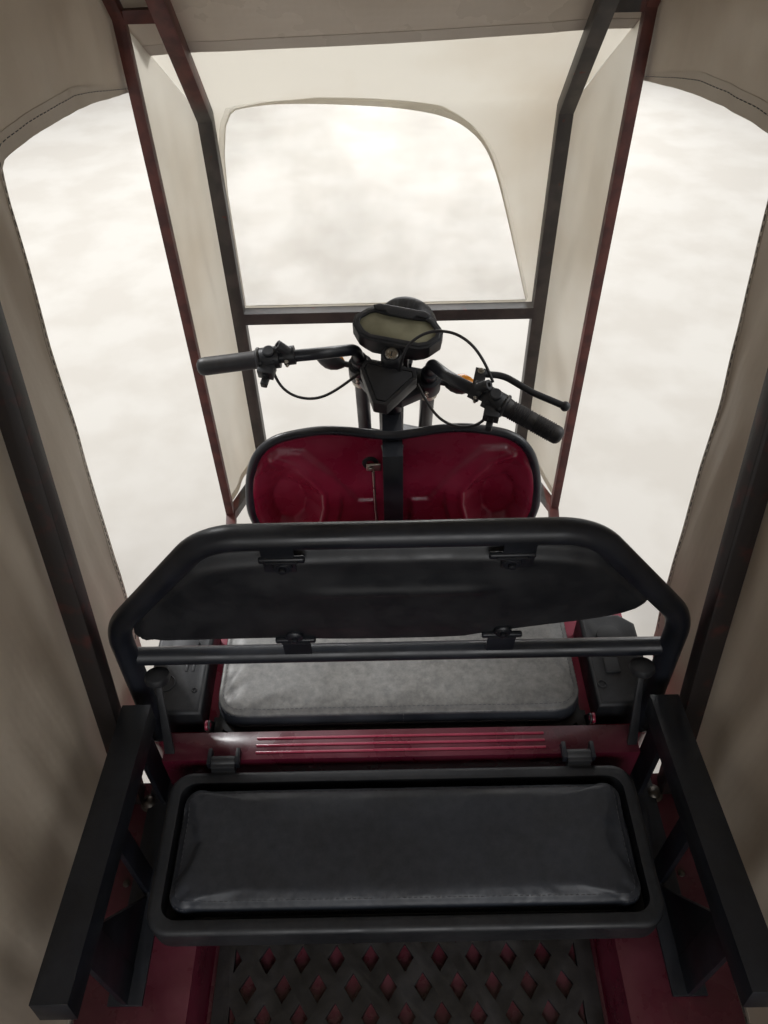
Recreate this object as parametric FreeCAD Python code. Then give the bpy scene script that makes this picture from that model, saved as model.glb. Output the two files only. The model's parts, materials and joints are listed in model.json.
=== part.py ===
import FreeCAD
import Part
import math
import os

V = FreeCAD.Vector
os.makedirs("parts", exist_ok=True)

# Electric three-wheeled auto rickshaw with a canvas canopy, in millimetres.
# X is the driver's right, Y is forward and Z is up; stations (Y) start at the rear axle.

# Wheels and axles
wheelbase = 1570
wheel_radius = 240
rear_track_half = 385
rear_tyre_width = 90
front_tyre_width = 80
rim_radius = 152
rim_wall = 10
rim_flange = 10
disc_thickness = 8
disc_hole_radius = 24
disc_hole_circle = 104
disc_hole_count = 5
drum_radius = 62
drum_length = 88
front_hub_radius = 42
front_hub_length = 88
stub_radius = 12.5
front_axle_radius = 6
running_clearance = 0.05
bearing_gap = 0.4

# Steering
rake = 22
fork_offset = 30
rest_turn = 14
fork_half_spread = 70
fork_leg_radius = 18
stanchion_radius = 15
head_tube_radius = 26
stem_radius = 12
lower_bridge_height = 400
upper_bridge_height = 690
bridge_thickness = 25
clamp_radius = 25
clamp_top = 728
grip_radius = 16
bar_radius = 11

# Ladder frame
rail_half_spread = 220
rail_size = 40
front_rail_height = 290
rear_rail_height = 421
kick_start = 626
kick_end = 526
frame_front = 1185
frame_rear = -405
neck_size = 40
neck_station = 1165
neck_arm_drop = 69

# Floor and seat box
floor_thickness = 20
floor_half_width = 410
floor_front = 1215
floor_rear = 600
seat_box_half_width = 415
seat_box_rear = 632
seat_box_front = 1000
seat_box_top = 660
panel = 8
seat_half_width = 302
seat_rear = 637
seat_front = 1007
seat_pan_thickness = 12
seat_top = 727
hatch_half_width = 255
hatch_margin = 55
battery_half_width = 240
battery_length = 250
battery_height = 230

# Leg shield
shield_station = 1200
shield_thickness = 5
shield_above_arm = 45
shield_bow = 34
trim_width = 14

# Rear tub
tub_rear = -420
tub_front = 600
tub_half_width = 455
well_half_width = 310
tub_floor = 441
mat_thickness = 10
ledge_height = 584
skirt_bottom = 380
arch_radius = 285
bulkhead_height = 700
flange_front = 626
flange_rear = 579

# Folding bench
bench_half_width = 350
bench_front = 566
bench_rear = 330
bench_bottom = 656
bench_rim = 702
bench_rim_width = 19
bench_floor = 668
bench_crown = 716
bench_hinge_station = 573
bench_hinge_height = 707
hinge_pin_radius = 4
hinge_barrel_radius = 8
hinge_clearance = 0.3

# Armrest rails
rail_tube = 42
armrest_x = 389
armrest_front = (609, 790)
armrest_rear = (215, 838)

# Driver's backrest
back_foot_station = 702
back_lean = 6.7
back_tube_radius = 17
back_foot_x = 398
back_foot_set = 50
back_corner_x = 404
back_corner_height = 262
back_top_x = 238
back_top_height = 473
back_bar_height = 192
back_bend = 90

# Canopy
side_plane = tub_half_width
canvas = 3
canvas_gap = 2
side_tube = 20
post_tube = 30
screen_post_x = 369
screen_post_station = 1703
screen_bar_height = 801
kink_height = 1265
screen_slope = 40.5
side_post_station = 1512
eave_height = 1800
roof_rise = 80
b_post_station = 578
b_post_lean = 11.6
rear_post_station = -408
roof_rear = -446
canvas_hem = 560

# Tailgate and rear end
tailgate_half_width = 302
tailgate_thickness = 20
tailgate_hinge_height = tub_floor + 2
tailgate_bottom = tailgate_hinge_height + 9
tailgate_top = 660
bumper_station = -452
bumper_height = 335
bumper_radius = 19
bumper_half_width = 400

# Places that follow from the sizes above
axis_foot_y = wheelbase - fork_offset * math.cos(math.radians(rake))
axis_foot_z = wheel_radius - fork_offset * math.sin(math.radians(rake))
head_top = axis_foot_z + upper_bridge_height * math.cos(math.radians(rake))
neck_arm_height = head_top - neck_arm_drop
shield_top = neck_arm_height + shield_above_arm
mid_station = (wheelbase + wheel_radius + bumper_station - bumper_radius) / 2


def box(x0, x1, y0, y1, z0, z1):
    return Part.makeBox(x1 - x0, y1 - y0, z1 - z0, V(x0, y0, z0))


def cylinder(start, direction, radius, length):
    return Part.makeCylinder(radius, length, V(*start), V(*direction))


def join(shapes):
    shapes = list(shapes)
    result = shapes[0].fuse(shapes[1:]) if len(shapes) > 1 else shapes[0]
    return result.removeSplitter()


def mirrored(shape):
    return shape.mirror(V(0, 0, 0), V(1, 0, 0))


def both_sides(shape):
    return Part.makeCompound([mirrored(shape), shape])


def prism_along_x(outline, x0, x1):
    # The outline's points are (station, height)
    points = [V(x0, y, z) for y, z in outline + outline[:1]]
    return Part.Face(Part.makePolygon(points)).extrude(V(x1 - x0, 0, 0))


def prism_along_y(outline, y0, y1):
    # The outline's points are (x, height)
    points = [V(x, y0, z) for x, z in outline + outline[:1]]
    return Part.Face(Part.makePolygon(points)).extrude(V(0, y1 - y0, 0))


def prism_along_z(outline, z0, z1):
    # The outline's points are (x, station)
    points = [V(x, y, z0) for x, y in outline + outline[:1]]
    return Part.Face(Part.makePolygon(points)).extrude(V(0, 0, z1 - z0))


def strip(path, left, right):
    # A closed outline that runs beside a bent path, at two offsets from it
    def side(offset):
        points = []
        for i, (a, b) in enumerate(path):
            before = path[max(i - 1, 0)]
            after = path[min(i + 1, len(path) - 1)]
            if i == 0:
                before = (2 * a - after[0], 2 * b - after[1])
            if i == len(path) - 1:
                after = (2 * a - before[0], 2 * b - before[1])
            first = math.atan2(b - before[1], a - before[0])
            second = math.atan2(after[1] - b, after[0] - a)
            middle = (first + second) / 2
            reach = offset / math.cos((second - first) / 2)
            points.append((a - reach * math.sin(middle), b + reach * math.cos(middle)))
        return points
    return side(left) + side(right)[::-1]


def rounded_run(points, bend):
    # Straight runs joined by tangent arcs, and the arcs' radii
    points = [V(*p) for p in points]
    edges = []
    radii = []
    start = points[0]
    for before, corner, after in zip(points, points[1:], points[2:]):
        into = (corner - before).normalize()
        out = (after - corner).normalize()
        turn = into.getAngle(out)
        shorter = min((corner - before).Length, (after - corner).Length)
        cut = min(bend * math.tan(turn / 2), 0.45 * shorter)
        first = corner - into * cut
        last = corner + out * cut
        inward = (out - into).normalize()
        arc_radius = cut / math.tan(turn / 2)
        radii.append(arc_radius)
        middle = corner + inward * (arc_radius / math.cos(turn / 2) - arc_radius)
        edges.append(Part.LineSegment(start, first).toShape())
        edges.append(Part.Arc(first, middle, last).toShape())
        start = last
    edges.append(Part.LineSegment(start, points[-1]).toShape())
    return edges, radii


def swept(edges, radius):
    start = edges[0].Vertexes[0].Point
    circle = Part.Circle(start, edges[0].Vertexes[1].Point - start, radius).toShape()
    return Part.Wire(edges).makePipeShell([Part.Wire([circle])], True, False)


def bent_bar(points, radius, bend):
    return swept(rounded_run(points, bend)[0], radius)


def square_bar(start, end, width, depth):
    # Width lies across X, depth lies in the plane of the bar's run and X's normal
    start = V(*start)
    run = V(*end) - start
    along = V(run).normalize()
    across = V(1, 0, 0) if abs(along.x) < 0.9 else V(0, 1, 0)
    third = along.cross(across).normalize()
    across = third.cross(along).normalize()
    corners = [(-1, -1), (1, -1), (1, 1), (-1, 1), (-1, -1)]
    points = [start + across * (a * width / 2) + third * (b * depth / 2) for a, b in corners]
    return Part.Face(Part.makePolygon(points)).extrude(run)


def rounded_plate(x0, x1, y0, y1, z0, z1, corner):
    plate = box(x0, x1, y0, y1, z0, z1)
    upright = [e for e in plate.Edges if abs(e.tangentAt(e.FirstParameter).z) > 0.99]
    return plate.makeFillet(corner, upright)


def soften(solid, radius, above):
    # Rounds the edges that lie wholly above a height
    edges = [e for e in solid.Edges if e.BoundBox.ZMin > above]
    return solid.makeFillet(radius, edges)


def revolved(profile, centre_x, centre_y, centre_z):
    # The profile's points are (x, radius); the wheel turns about X
    points = [V(x, 0, r) for x, r in profile + profile[:1]]
    face = Part.Face(Part.makePolygon(points))
    solid = face.revolve(V(0, 0, 0), V(1, 0, 0), 360)
    solid.translate(V(centre_x, centre_y, centre_z))
    return solid


nodes = {}

# Steering parts are drawn upright on their own axis, with the wheel straight
lean_back = FreeCAD.Rotation(V(1, 0, 0), rake)
turned = FreeCAD.Rotation(V(0, 0, 1), -rest_turn)
steering_place = FreeCAD.Placement(V(0, axis_foot_y, axis_foot_z), lean_back.multiply(turned))
straight_place = FreeCAD.Placement(V(0, axis_foot_y, axis_foot_z), lean_back)


def steered(shape):
    result = shape.copy()
    result.Placement = steering_place.multiply(shape.Placement)
    return result


# Tyres and rims

def tyre(width):
    half = width / 2
    bead = half - 12
    points = [(-bead, rim_radius), (bead, rim_radius), (half - 3, rim_radius + 28),
              (half, rim_radius + 50), (half - 8, wheel_radius - 14)]
    crown = Part.Arc(V(half - 8, 0, wheel_radius - 14), V(0, 0, wheel_radius),
                     V(8 - half, 0, wheel_radius - 14)).toShape()
    right = [V(x, 0, r) for x, r in points[1:]]
    left = [V(-x, 0, r) for x, r in points[:0:-1]]
    wire = Part.Wire([Part.makePolygon(left + right)] + [crown])
    return Part.Face(wire).revolve(V(0, 0, 0), V(1, 0, 0), 360)


def rim(width, hub_radius, hub_length, bore):
    half = width / 2
    bead = half - 12
    barrel = revolved([(-bead, rim_radius), (bead, rim_radius), (bead, rim_radius + rim_flange),
                       (bead + 5, rim_radius + rim_flange), (bead + 5, rim_radius - rim_wall),
                       (-bead - 5, rim_radius - rim_wall), (-bead - 5, rim_radius + rim_flange),
                       (-bead, rim_radius + rim_flange)], 0, 0, 0)
    disc = revolved([(-disc_thickness / 2, hub_radius - 5), (disc_thickness / 2, hub_radius - 5),
                     (disc_thickness / 2, rim_radius - rim_wall + 2),
                     (-disc_thickness / 2, rim_radius - rim_wall + 2)], 0, 0, 0)
    hub = cylinder((-hub_length / 2, 0, 0), (1, 0, 0), hub_radius, hub_length)
    wheel = join([barrel, disc, hub])
    for i in range(disc_hole_count):
        angle = 2 * math.pi * i / disc_hole_count
        place = (-disc_thickness, disc_hole_circle * math.sin(angle), disc_hole_circle * math.cos(angle))
        wheel = wheel.cut(cylinder(place, (1, 0, 0), disc_hole_radius, 2 * disc_thickness))
    return wheel.cut(cylinder((-hub_length, 0, 0), (1, 0, 0), bore, 2 * hub_length))


def seat_tyre(rubber, metal):
    return rubber.cut(metal)


rear_rim = rim(rear_tyre_width, drum_radius, drum_length, stub_radius + running_clearance)
rear_tyre = seat_tyre(tyre(rear_tyre_width), rear_rim)
for side, sign in (("left", -1), ("right", 1)):
    for name, shape in (("rim", rear_rim), ("tyre", rear_tyre)):
        piece = shape.copy()
        piece.translate(V(sign * rear_track_half, 0, wheel_radius))
        nodes["rear_" + name + "_" + side] = piece

front_rim = rim(front_tyre_width, front_hub_radius, front_hub_length,
                front_axle_radius + running_clearance)
front_tyre = seat_tyre(tyre(front_tyre_width), front_rim)
for name, shape in (("front_rim", front_rim), ("front_tyre", front_tyre)):
    shape.translate(V(0, fork_offset, 0))
    nodes[name] = steered(shape)

# Fork: two legs, two bridges, stem and wheel spindle
lug_inner = front_hub_length / 2 + bearing_gap
legs = []
for sign in (-1, 1):
    x = sign * fork_half_spread
    slider = cylinder((x, fork_offset, -22), (0, 0, 1), fork_leg_radius, lower_bridge_height - 60)
    stanchion = cylinder((x, fork_offset, 0), (0, 0, 1), stanchion_radius, clamp_top)
    low, high = sorted((sign * lug_inner, x))
    lug = cylinder((low, fork_offset, 0), (1, 0, 0), 16, high - low)
    legs += [slider, stanchion, lug]
bridge_outline = [(-fork_half_spread, 55), (fork_half_spread, 55), (fork_half_spread + 5, 10),
                  (28, -28), (-28, -28), (-fork_half_spread - 5, 10)]
bridges = []
for height in (lower_bridge_height, upper_bridge_height):
    bridges.append(prism_along_z(bridge_outline, height, height + bridge_thickness))
    for x in (-fork_half_spread, fork_half_spread):
        bridges.append(cylinder((x, fork_offset, height), (0, 0, 1), clamp_radius, bridge_thickness))
for x in (-fork_half_spread, fork_half_spread):
    bridges.append(cylinder((x, fork_offset, upper_bridge_height), (0, 0, 1), clamp_radius,
                            clamp_top - upper_bridge_height))
stem_length = upper_bridge_height - lower_bridge_height
stem = cylinder((0, 0, lower_bridge_height), (0, 0, 1), stem_radius, stem_length)
spindle_reach = fork_half_spread + fork_leg_radius + 6
spindle = cylinder((-spindle_reach, fork_offset, 0), (1, 0, 0), front_axle_radius, 2 * spindle_reach)
nodes["fork"] = steered(join(legs + bridges + [stem, spindle]))

# Front mudguard: a trough round the tyre, clamped to the fork legs
guard_gap = 16
guard_skin = 3
guard_half = 48.5
guard_radius = wheel_radius + guard_gap
guard_side = 26
guard_section = strip([(-guard_half, guard_radius - guard_side), (-guard_half, guard_radius - 8),
                       (-guard_half + 14, guard_radius), (guard_half - 14, guard_radius),
                       (guard_half, guard_radius - 8), (guard_half, guard_radius - guard_side)],
                      -guard_skin, 0)
guard_rear_angle = 80
guard_front_angle = 50
guard_points = [V(x, 0, r) for x, r in guard_section + guard_section[:1]]
guard = Part.Face(Part.makePolygon(guard_points)).revolve(
    V(0, 0, 0), V(1, 0, 0), guard_rear_angle + guard_front_angle)
guard.rotate(V(0, 0, 0), V(1, 0, 0), -guard_front_angle)
guard.translate(V(0, fork_offset, 0))
clip_height = guard_radius - 30
clips = []
for sign in (-1, 1):
    x = sign * fork_half_spread
    ring = cylinder((x, fork_offset, clip_height), (0, 0, 1), fork_leg_radius + 4, 18)
    low, high = sorted((sign * (guard_half - 2), sign * (fork_half_spread - 4)))
    ear = box(low, high, fork_offset - 12, fork_offset + 12, clip_height, clip_height + 18)
    hole = cylinder((x, fork_offset, clip_height - 5), (0, 0, 1), fork_leg_radius, 40)
    clips.append(join([ring, ear]).cut(hole))
nodes["front_mudguard"] = steered(join([guard] + clips))

# Handlebar: one swept tube from each fork clamp
bar_run = [(70, 30, clamp_top), (74, 22, 790), (118, -52, 868), (212, -84, 868), (324, -120, 858)]
right_bar = bent_bar(bar_run, bar_radius, 60)
socket = cylinder((70, 30, clamp_top), (4, -8, 62), bar_radius + 5, 26)
right_bar = join([right_bar, socket]).cut(box(0, 200, -100, 100, clamp_top - 40, clamp_top))
nodes["handlebar"] = steered(both_sides(right_bar))

grip_start = V(*bar_run[3])
grip_end = V(*bar_run[4])
grip_line = (grip_end - grip_start).normalize()
grip_length = 112
grip_from = grip_end - grip_line * (grip_length - 4)
grip = Part.makeCylinder(grip_radius, grip_length, grip_from, grip_line)
flange = Part.makeCylinder(grip_radius + 6, 5, grip_from, grip_line)
grip = join([grip, flange]).cut(Part.makeCylinder(bar_radius, 200, grip_end - grip_line * 200, grip_line))
nodes["hand_grips"] = steered(both_sides(grip))

# Switch blocks, brake lever and its clamp, on the bars inboard of the grips
block_length = 34
block_radius = 20
block_at = grip_from - grip_line * (block_length + 1)
block = Part.makeCylinder(block_radius, block_length, block_at, grip_line)
block_mid = block_at + grip_line * (block_length / 2)
toggle = box(-14, 14, -36, -14, -14, 8)
toggle.translate(block_mid)
block = join([block, toggle])
clamp_gap = 8
lever_clamp_length = 20
lever_clamp_at = block_at - grip_line * (lever_clamp_length + clamp_gap)
clamp_mid = lever_clamp_at + grip_line * (lever_clamp_length / 2)
lever_clamp = Part.makeCylinder(17, lever_clamp_length, lever_clamp_at, grip_line)
lever_arm = box(-10, 10, 8, 42, -10, 10)
lever_arm.translate(clamp_mid)
lever_pivot = clamp_mid + V(0, 36, 0)
lever_run = [lever_pivot + V(*p) for p in ((0, 0, 0), (40, 6, 0), (96, -16, -3), (156, -30, -5))]
lever = bent_bar([tuple(p) for p in lever_run], 6, 60)
lever_tip = Part.makeSphere(9, lever_run[-1])
mirror_tilt = 48
mirror_bore_radius = 4.25
mirror_bore_depth = 12
mirror_boss_radius = 9
mirror_boss_height = 26
mirror_line = V(math.sin(math.radians(mirror_tilt)), 0, math.cos(math.radians(mirror_tilt)))
boss_base = clamp_mid + V(0, 0, 10)
boss_top = boss_base + mirror_line * mirror_boss_height
mirror_boss = Part.makeCylinder(mirror_boss_radius, mirror_boss_height, boss_base, mirror_line)
mirror_hole = Part.makeCylinder(mirror_bore_radius, mirror_bore_depth + 1, boss_top + mirror_line,
                                mirror_line * -1)
bar_room = bent_bar(bar_run, bar_radius + 0.1, 60)
clamp_set = join([lever_clamp, lever_arm, mirror_boss]).cut(mirror_hole)
brake = join([clamp_set, lever, lever_tip])
plain_clamp = join([lever_clamp, mirror_boss]).cut(mirror_hole)
grip_room = Part.makeCylinder(grip_radius + 8, 2 * grip_length, grip_from - grip_line * 0.5, grip_line)
block, brake, plain_clamp = [piece.cut(bar_room).cut(grip_room) for piece in (block, brake, plain_clamp)]
block, brake, plain_clamp = [max(piece.Solids, key=lambda solid: solid.Volume)
                             for piece in (block, brake, plain_clamp)]
nodes["hand_controls"] = steered(Part.makeCompound(
    [block, mirrored(block), brake, mirrored(plain_clamp)]))

# Instrument pod, stem cover, headlamp, all carried by the upper bridge
pod_half = 88
pod_outline = [(-54, 0), (54, 0), (pod_half, 34), (76, 86), (48, 103), (-48, 103), (-76, 86),
               (-pod_half, 34)]
pod_rear = 14
pod_base = 796
pod_height = 40
pod_points = [(x, v + pod_rear) for x, v in pod_outline]
pod = prism_along_z(pod_points, pod_base, pod_base + pod_height)
pod = soften(pod, 6, pod_base + pod_height - 1)
screen_points = [(x * 0.8, v * 0.74 + 14 + pod_rear) for x, v in pod_outline]
screen_depth = 4
screen_cut = prism_along_z(screen_points, pod_base + pod_height - screen_depth, pod_base + pod_height + 5)
pod_stalk = box(-26, 26, 30, 52, upper_bridge_height + bridge_thickness, pod_base)
nodes["instrument_pod"] = steered(join([pod, pod_stalk]).cut(screen_cut))
screen = prism_along_z([(x * 0.98, (v - 50) * 0.98 + 50) for x, v in screen_points],
                       pod_base + pod_height - screen_depth, pod_base + pod_height - screen_depth + 2)
nodes["instrument_screen"] = steered(screen)

cover_outline = [(-16, -96), (16, -96), (55, -26), (44, -6), (-44, -6), (-55, -26)]
cover_top = 800
cover = prism_along_z(cover_outline, cover_top - 34, cover_top)
cover = soften(cover, 5, cover_top - 1)
cover_post = box(-24, 24, -26, 24, upper_bridge_height + bridge_thickness, cover_top - 10)
lock = cylinder((0, -20, cover_top - 2), (0, 0, 1), 13, 12)
nodes["stem_cover"] = steered(join([cover, cover_post, lock]))

lamp_radius = 62
lamp_centre = (96, 742)
lamp_shell = revolved([(0, 0), (0, 26), (14, 44), (50, lamp_radius), (62, lamp_radius), (62, 0)], 0, 0, 0)
lamp_shell.rotate(V(0, 0, 0), V(0, 0, 1), 90)
lamp_shell.rotate(V(0, 0, 0), V(1, 0, 0), -rake)
lamp_shell.translate(V(0, lamp_centre[0], lamp_centre[1]))
lamp_stay = box(-30, 30, 52, 110, 716, 730)
nodes["headlamp"] = steered(join([lamp_shell, lamp_stay]))
lens = revolved([(62, 0), (62, lamp_radius - 4), (70, lamp_radius - 16), (76, 0)], 0, 0, 0)
lens.rotate(V(0, 0, 0), V(0, 0, 1), 90)
lens.rotate(V(0, 0, 0), V(1, 0, 0), -rake)
lens.translate(V(0, lamp_centre[0], lamp_centre[1]))
nodes["headlamp_lens"] = steered(lens)

# Turn signals on short stalks from the fork clamps
signal_height = 712
stalk = cylinder((clamp_radius + fork_half_spread - 3, 34, signal_height), (1, 0, 0), 6, 18)
stalk_cut = cylinder((fork_half_spread, fork_offset, 600), (0, 0, 1), clamp_radius, 200)
signal_body = box(108, 158, 14, 46, signal_height - 15, signal_height + 15)
signal_body = signal_body.makeFillet(9, [e for e in signal_body.Edges
                                         if abs(e.tangentAt(e.FirstParameter).x) < 0.5
                                         and e.BoundBox.XMin > 150])
signal = join([stalk.cut(stalk_cut), signal_body])
nodes["turn_signals"] = steered(both_sides(signal))
signal_lens = box(113, 153, 46, 54, signal_height - 11, signal_height + 11)
nodes["turn_lenses"] = steered(both_sides(signal_lens))

# Ladder frame: kicked-up rails, cross members, neck and head tube
half_rail = rail_size / 2
rail_path = [(frame_front, front_rail_height), (kick_start, front_rail_height),
             (kick_end, rear_rail_height), (frame_rear, rear_rail_height)]
rail_outline = strip(rail_path, -half_rail, half_rail)
main_rail = prism_along_x(rail_outline, rail_half_spread - half_rail, rail_half_spread + half_rail)
front_top = front_rail_height + half_rail
front_low = front_rail_height - half_rail
rear_low = rear_rail_height - half_rail
rear_top = rear_rail_height + half_rail
cross_members = [
    # half length, station of the rear face, low, high
    (425, frame_front - rail_size, front_low, front_top),
    (floor_half_width, seat_box_rear, front_low, front_top),
    (rail_half_spread, 880, front_low, front_top),
    (rail_half_spread, 300, rear_low, rear_top),
    (well_half_width, -60, rear_low, rear_top),
    (rail_half_spread, frame_rear, rear_low, rear_top),
]
frame_pieces = [main_rail, mirrored(main_rail)]
for half, station, low, high in cross_members:
    frame_pieces.append(box(-half, half, station, station + rail_size, low, high))
neck_path = [(neck_station, front_rail_height), (neck_station, neck_arm_height),
             (axis_foot_y - (neck_arm_height - axis_foot_z) * math.tan(math.radians(rake)),
              neck_arm_height)]
half_neck = neck_size / 2
neck = prism_along_x(strip(neck_path, -half_neck, half_neck), -half_neck, half_neck)
head_tube = cylinder((0, 0, lower_bridge_height + bridge_thickness + bearing_gap), (0, 0, 1),
                     head_tube_radius, stem_length - bridge_thickness - 2 * bearing_gap)
head_tube.Placement = straight_place
stem_room = cylinder((0, 0, 0), (0, 0, 1), stem_radius + running_clearance, clamp_top)
stem_room.Placement = straight_place
hangers = []
hanger_stations = (-300, 300)
for station in hanger_stations:
    for x in (-rail_half_spread, rail_half_spread):
        hangers.append(box(x - 26, x + 26, station - 22, station + 22, rear_low - 66, rear_low)
                       .cut(box(x - 23, x + 23, station - 30, station + 30, rear_low - 80, rear_low - 6)))
frame_solid = join(frame_pieces + [neck, head_tube] + hangers).cut(stem_room)
nodes["chassis_frame"] = frame_solid

# Leaf springs: three arched leaves a side, on a saddle over the axle tube
axle_tube_radius = 25
leaf_width = 44
leaf_thickness = 8
leaf_rise = 62
leaf_low = wheel_radius + axle_tube_radius + 10


def leaf(half_length, lift):
    sag = leaf_rise * (half_length / hanger_stations[1]) ** 2
    low = leaf_low + lift
    bottom = Part.Arc(V(0, -half_length, low + sag), V(0, 0, low), V(0, half_length, low + sag)).toShape()
    top = Part.Arc(V(0, half_length, low + sag + leaf_thickness), V(0, 0, low + leaf_thickness),
                   V(0, -half_length, low + sag + leaf_thickness)).toShape()
    ends = [Part.LineSegment(V(0, half_length, low + sag), V(0, half_length, low + sag + leaf_thickness)),
            Part.LineSegment(V(0, -half_length, low + sag + leaf_thickness), V(0, -half_length, low + sag))]
    wire = Part.Wire([bottom, ends[0].toShape(), top, ends[1].toShape()])
    return Part.Face(wire).extrude(V(leaf_width, 0, 0))


leaves = [leaf(half, i * leaf_thickness) for i, half in enumerate((150, 220, 300))]
pack = join(leaves)
pack.translate(V(rail_half_spread - leaf_width / 2, 0, 0))
eye_height = leaf_low + leaf_rise + 2.5 * leaf_thickness
eyes = [cylinder((rail_half_spread - leaf_width / 2, station, eye_height), (1, 0, 0), 12, leaf_width)
        for station in hanger_stations]
pins = [cylinder((rail_half_spread - 26, station, eye_height), (1, 0, 0), 6, 52)
        for station in hanger_stations]
saddle = box(rail_half_spread - 24, rail_half_spread + 24, -38, 38, wheel_radius + 8, leaf_low)
spring = join([pack, saddle] + eyes).cut(cylinder((0, 0, wheel_radius), (1, 0, 0), axle_tube_radius, 500))
spring = join([spring] + pins).cut(frame_solid)
nodes["leaf_springs"] = both_sides(spring)

# Rear axle tube with its differential, brake plates and stub axles; motor in front of it
drum_inner = rear_track_half - drum_length / 2
plate_at = drum_inner - bearing_gap - 10
diff = revolved([(-60, 0), (-60, 46), (-34, 74), (34, 74), (60, 46), (60, 0)], 0, 0, wheel_radius)
half_axle = join([
    cylinder((0, 0, wheel_radius), (1, 0, 0), axle_tube_radius, plate_at + 5),
    cylinder((plate_at, 0, wheel_radius), (1, 0, 0), drum_radius - 2, 10),
    cylinder((plate_at, 0, wheel_radius), (1, 0, 0), stub_radius,
             rear_track_half + drum_length / 2 + 14 - plate_at),
])
nodes["rear_axle"] = join([half_axle, mirrored(half_axle), diff])

motor_radius = 68
motor_start = 66
motor_length = 190
motor = cylinder((0, motor_start, wheel_radius), (0, 1, 0), motor_radius, motor_length)
groove_count = 4
groove_pitch = 30
for i in range(groove_count):
    groove_at = motor_start + 40 + i * groove_pitch
    ring = cylinder((0, groove_at, wheel_radius), (0, 1, 0), motor_radius + 5, 8)
    ring = ring.cut(cylinder((0, groove_at - 1, wheel_radius), (0, 1, 0), motor_radius - 6, 10))
    motor = motor.cut(ring)
motor = join([motor, cylinder((0, 30, wheel_radius), (0, 1, 0), 46, motor_start - 28)])
nodes["drive_motor"] = motor.cut(diff)

# Floorboard, battery and seat box
floor_top = front_top + floor_thickness
floorboard = box(-floor_half_width, floor_half_width, floor_rear + 10, floor_front, front_top, floor_top)
rib_count = 5
for i in range(rib_count):
    rib_station = seat_box_front + 26 + i * 24
    floorboard = floorboard.fuse(box(-280, 280, rib_station, rib_station + 8, floor_top - 1, floor_top + 3))
floorboard = floorboard.removeSplitter().cut(neck)
nodes["floorboard"] = floorboard.cut(frame_solid)

battery_station = (seat_box_rear + seat_box_front - battery_length) / 2
nodes["battery_block"] = box(-battery_half_width, battery_half_width, battery_station,
                             battery_station + battery_length, floor_top, floor_top + battery_height)

seat_shell = rounded_plate(-seat_box_half_width, seat_box_half_width, seat_box_rear, seat_box_front,
                           floor_top, seat_box_top, 30)
seat_shell = seat_shell.cut(rounded_plate(-seat_box_half_width + panel, seat_box_half_width - panel,
                                          seat_box_rear + panel, seat_box_front - panel,
                                          floor_top - 1, seat_box_top - panel, 22))
hatch = box(-hatch_half_width, hatch_half_width, seat_box_rear + hatch_margin,
            seat_box_front - hatch_margin, seat_box_top - 20, seat_box_top + 5)
seat_shell = seat_shell.cut(hatch)
louvre_count = 4
for i in range(louvre_count):
    louvre_height = floor_top + 90 + i * 30
    louvre = box(-150, 150, seat_box_front - 20, seat_box_front + 5, louvre_height, louvre_height + 10)
    seat_shell = seat_shell.cut(louvre)

# Driver's seat: a pan whose two rear corners turn on pins beside the cushion, and the cushion
pan_low = seat_box_top + 1
pan_high = pan_low + seat_pan_thickness
seat_hinge_height = pan_high + 27
seat_hinge_station = seat_rear + 2
eye_radius = 8
tab_gap = 1
tab_thickness = 3
ear_thickness = 4
tab_x = seat_half_width + tab_gap
ear_x = tab_x + tab_thickness + tab_gap
pan = rounded_plate(-seat_half_width + 4, seat_half_width - 4, seat_hinge_station, seat_front - 4,
                    pan_low - 0.7, pan_high, 30)


def hinge_plate(x0, thickness, low, length):
    # An upright plate with a round eye about the seat's pivot
    outline = [(seat_hinge_station - eye_radius + 1, seat_hinge_height), (seat_hinge_station, low),
               (seat_hinge_station + length, low), (seat_hinge_station + eye_radius, seat_hinge_height)]
    eye = cylinder((x0, seat_hinge_station, seat_hinge_height), (1, 0, 0), eye_radius, thickness)
    return join([prism_along_x(outline, x0, x0 + thickness), eye])


tab_foot = box(tab_x - 14, tab_x + tab_thickness, seat_hinge_station, seat_hinge_station + 30,
               pan_low - 0.7, pan_high)
tab = join([hinge_plate(tab_x, tab_thickness, pan_low - 0.7, 26), tab_foot])
pin_hole = cylinder((-tab_x - 20, seat_hinge_station, seat_hinge_height), (1, 0, 0),
                    hinge_pin_radius + hinge_clearance, 2 * tab_x + 40)
nodes["seat_pan"] = join([pan, tab, mirrored(tab)]).cut(pin_hole)
ear = hinge_plate(ear_x, ear_thickness, seat_box_top, 26)
pin = cylinder((tab_x, seat_hinge_station, seat_hinge_height), (1, 0, 0), hinge_pin_radius,
               ear_x + ear_thickness - tab_x)
ear = join([ear, pin])
nodes["seat_box"] = join([seat_shell, ear, mirrored(ear)])

seat_cushion = rounded_plate(-seat_half_width, seat_half_width, seat_rear, seat_front,
                             pan_high, seat_top, 40)
nodes["seat_cushion"] = soften(seat_cushion, 14, seat_top - 1)

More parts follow.
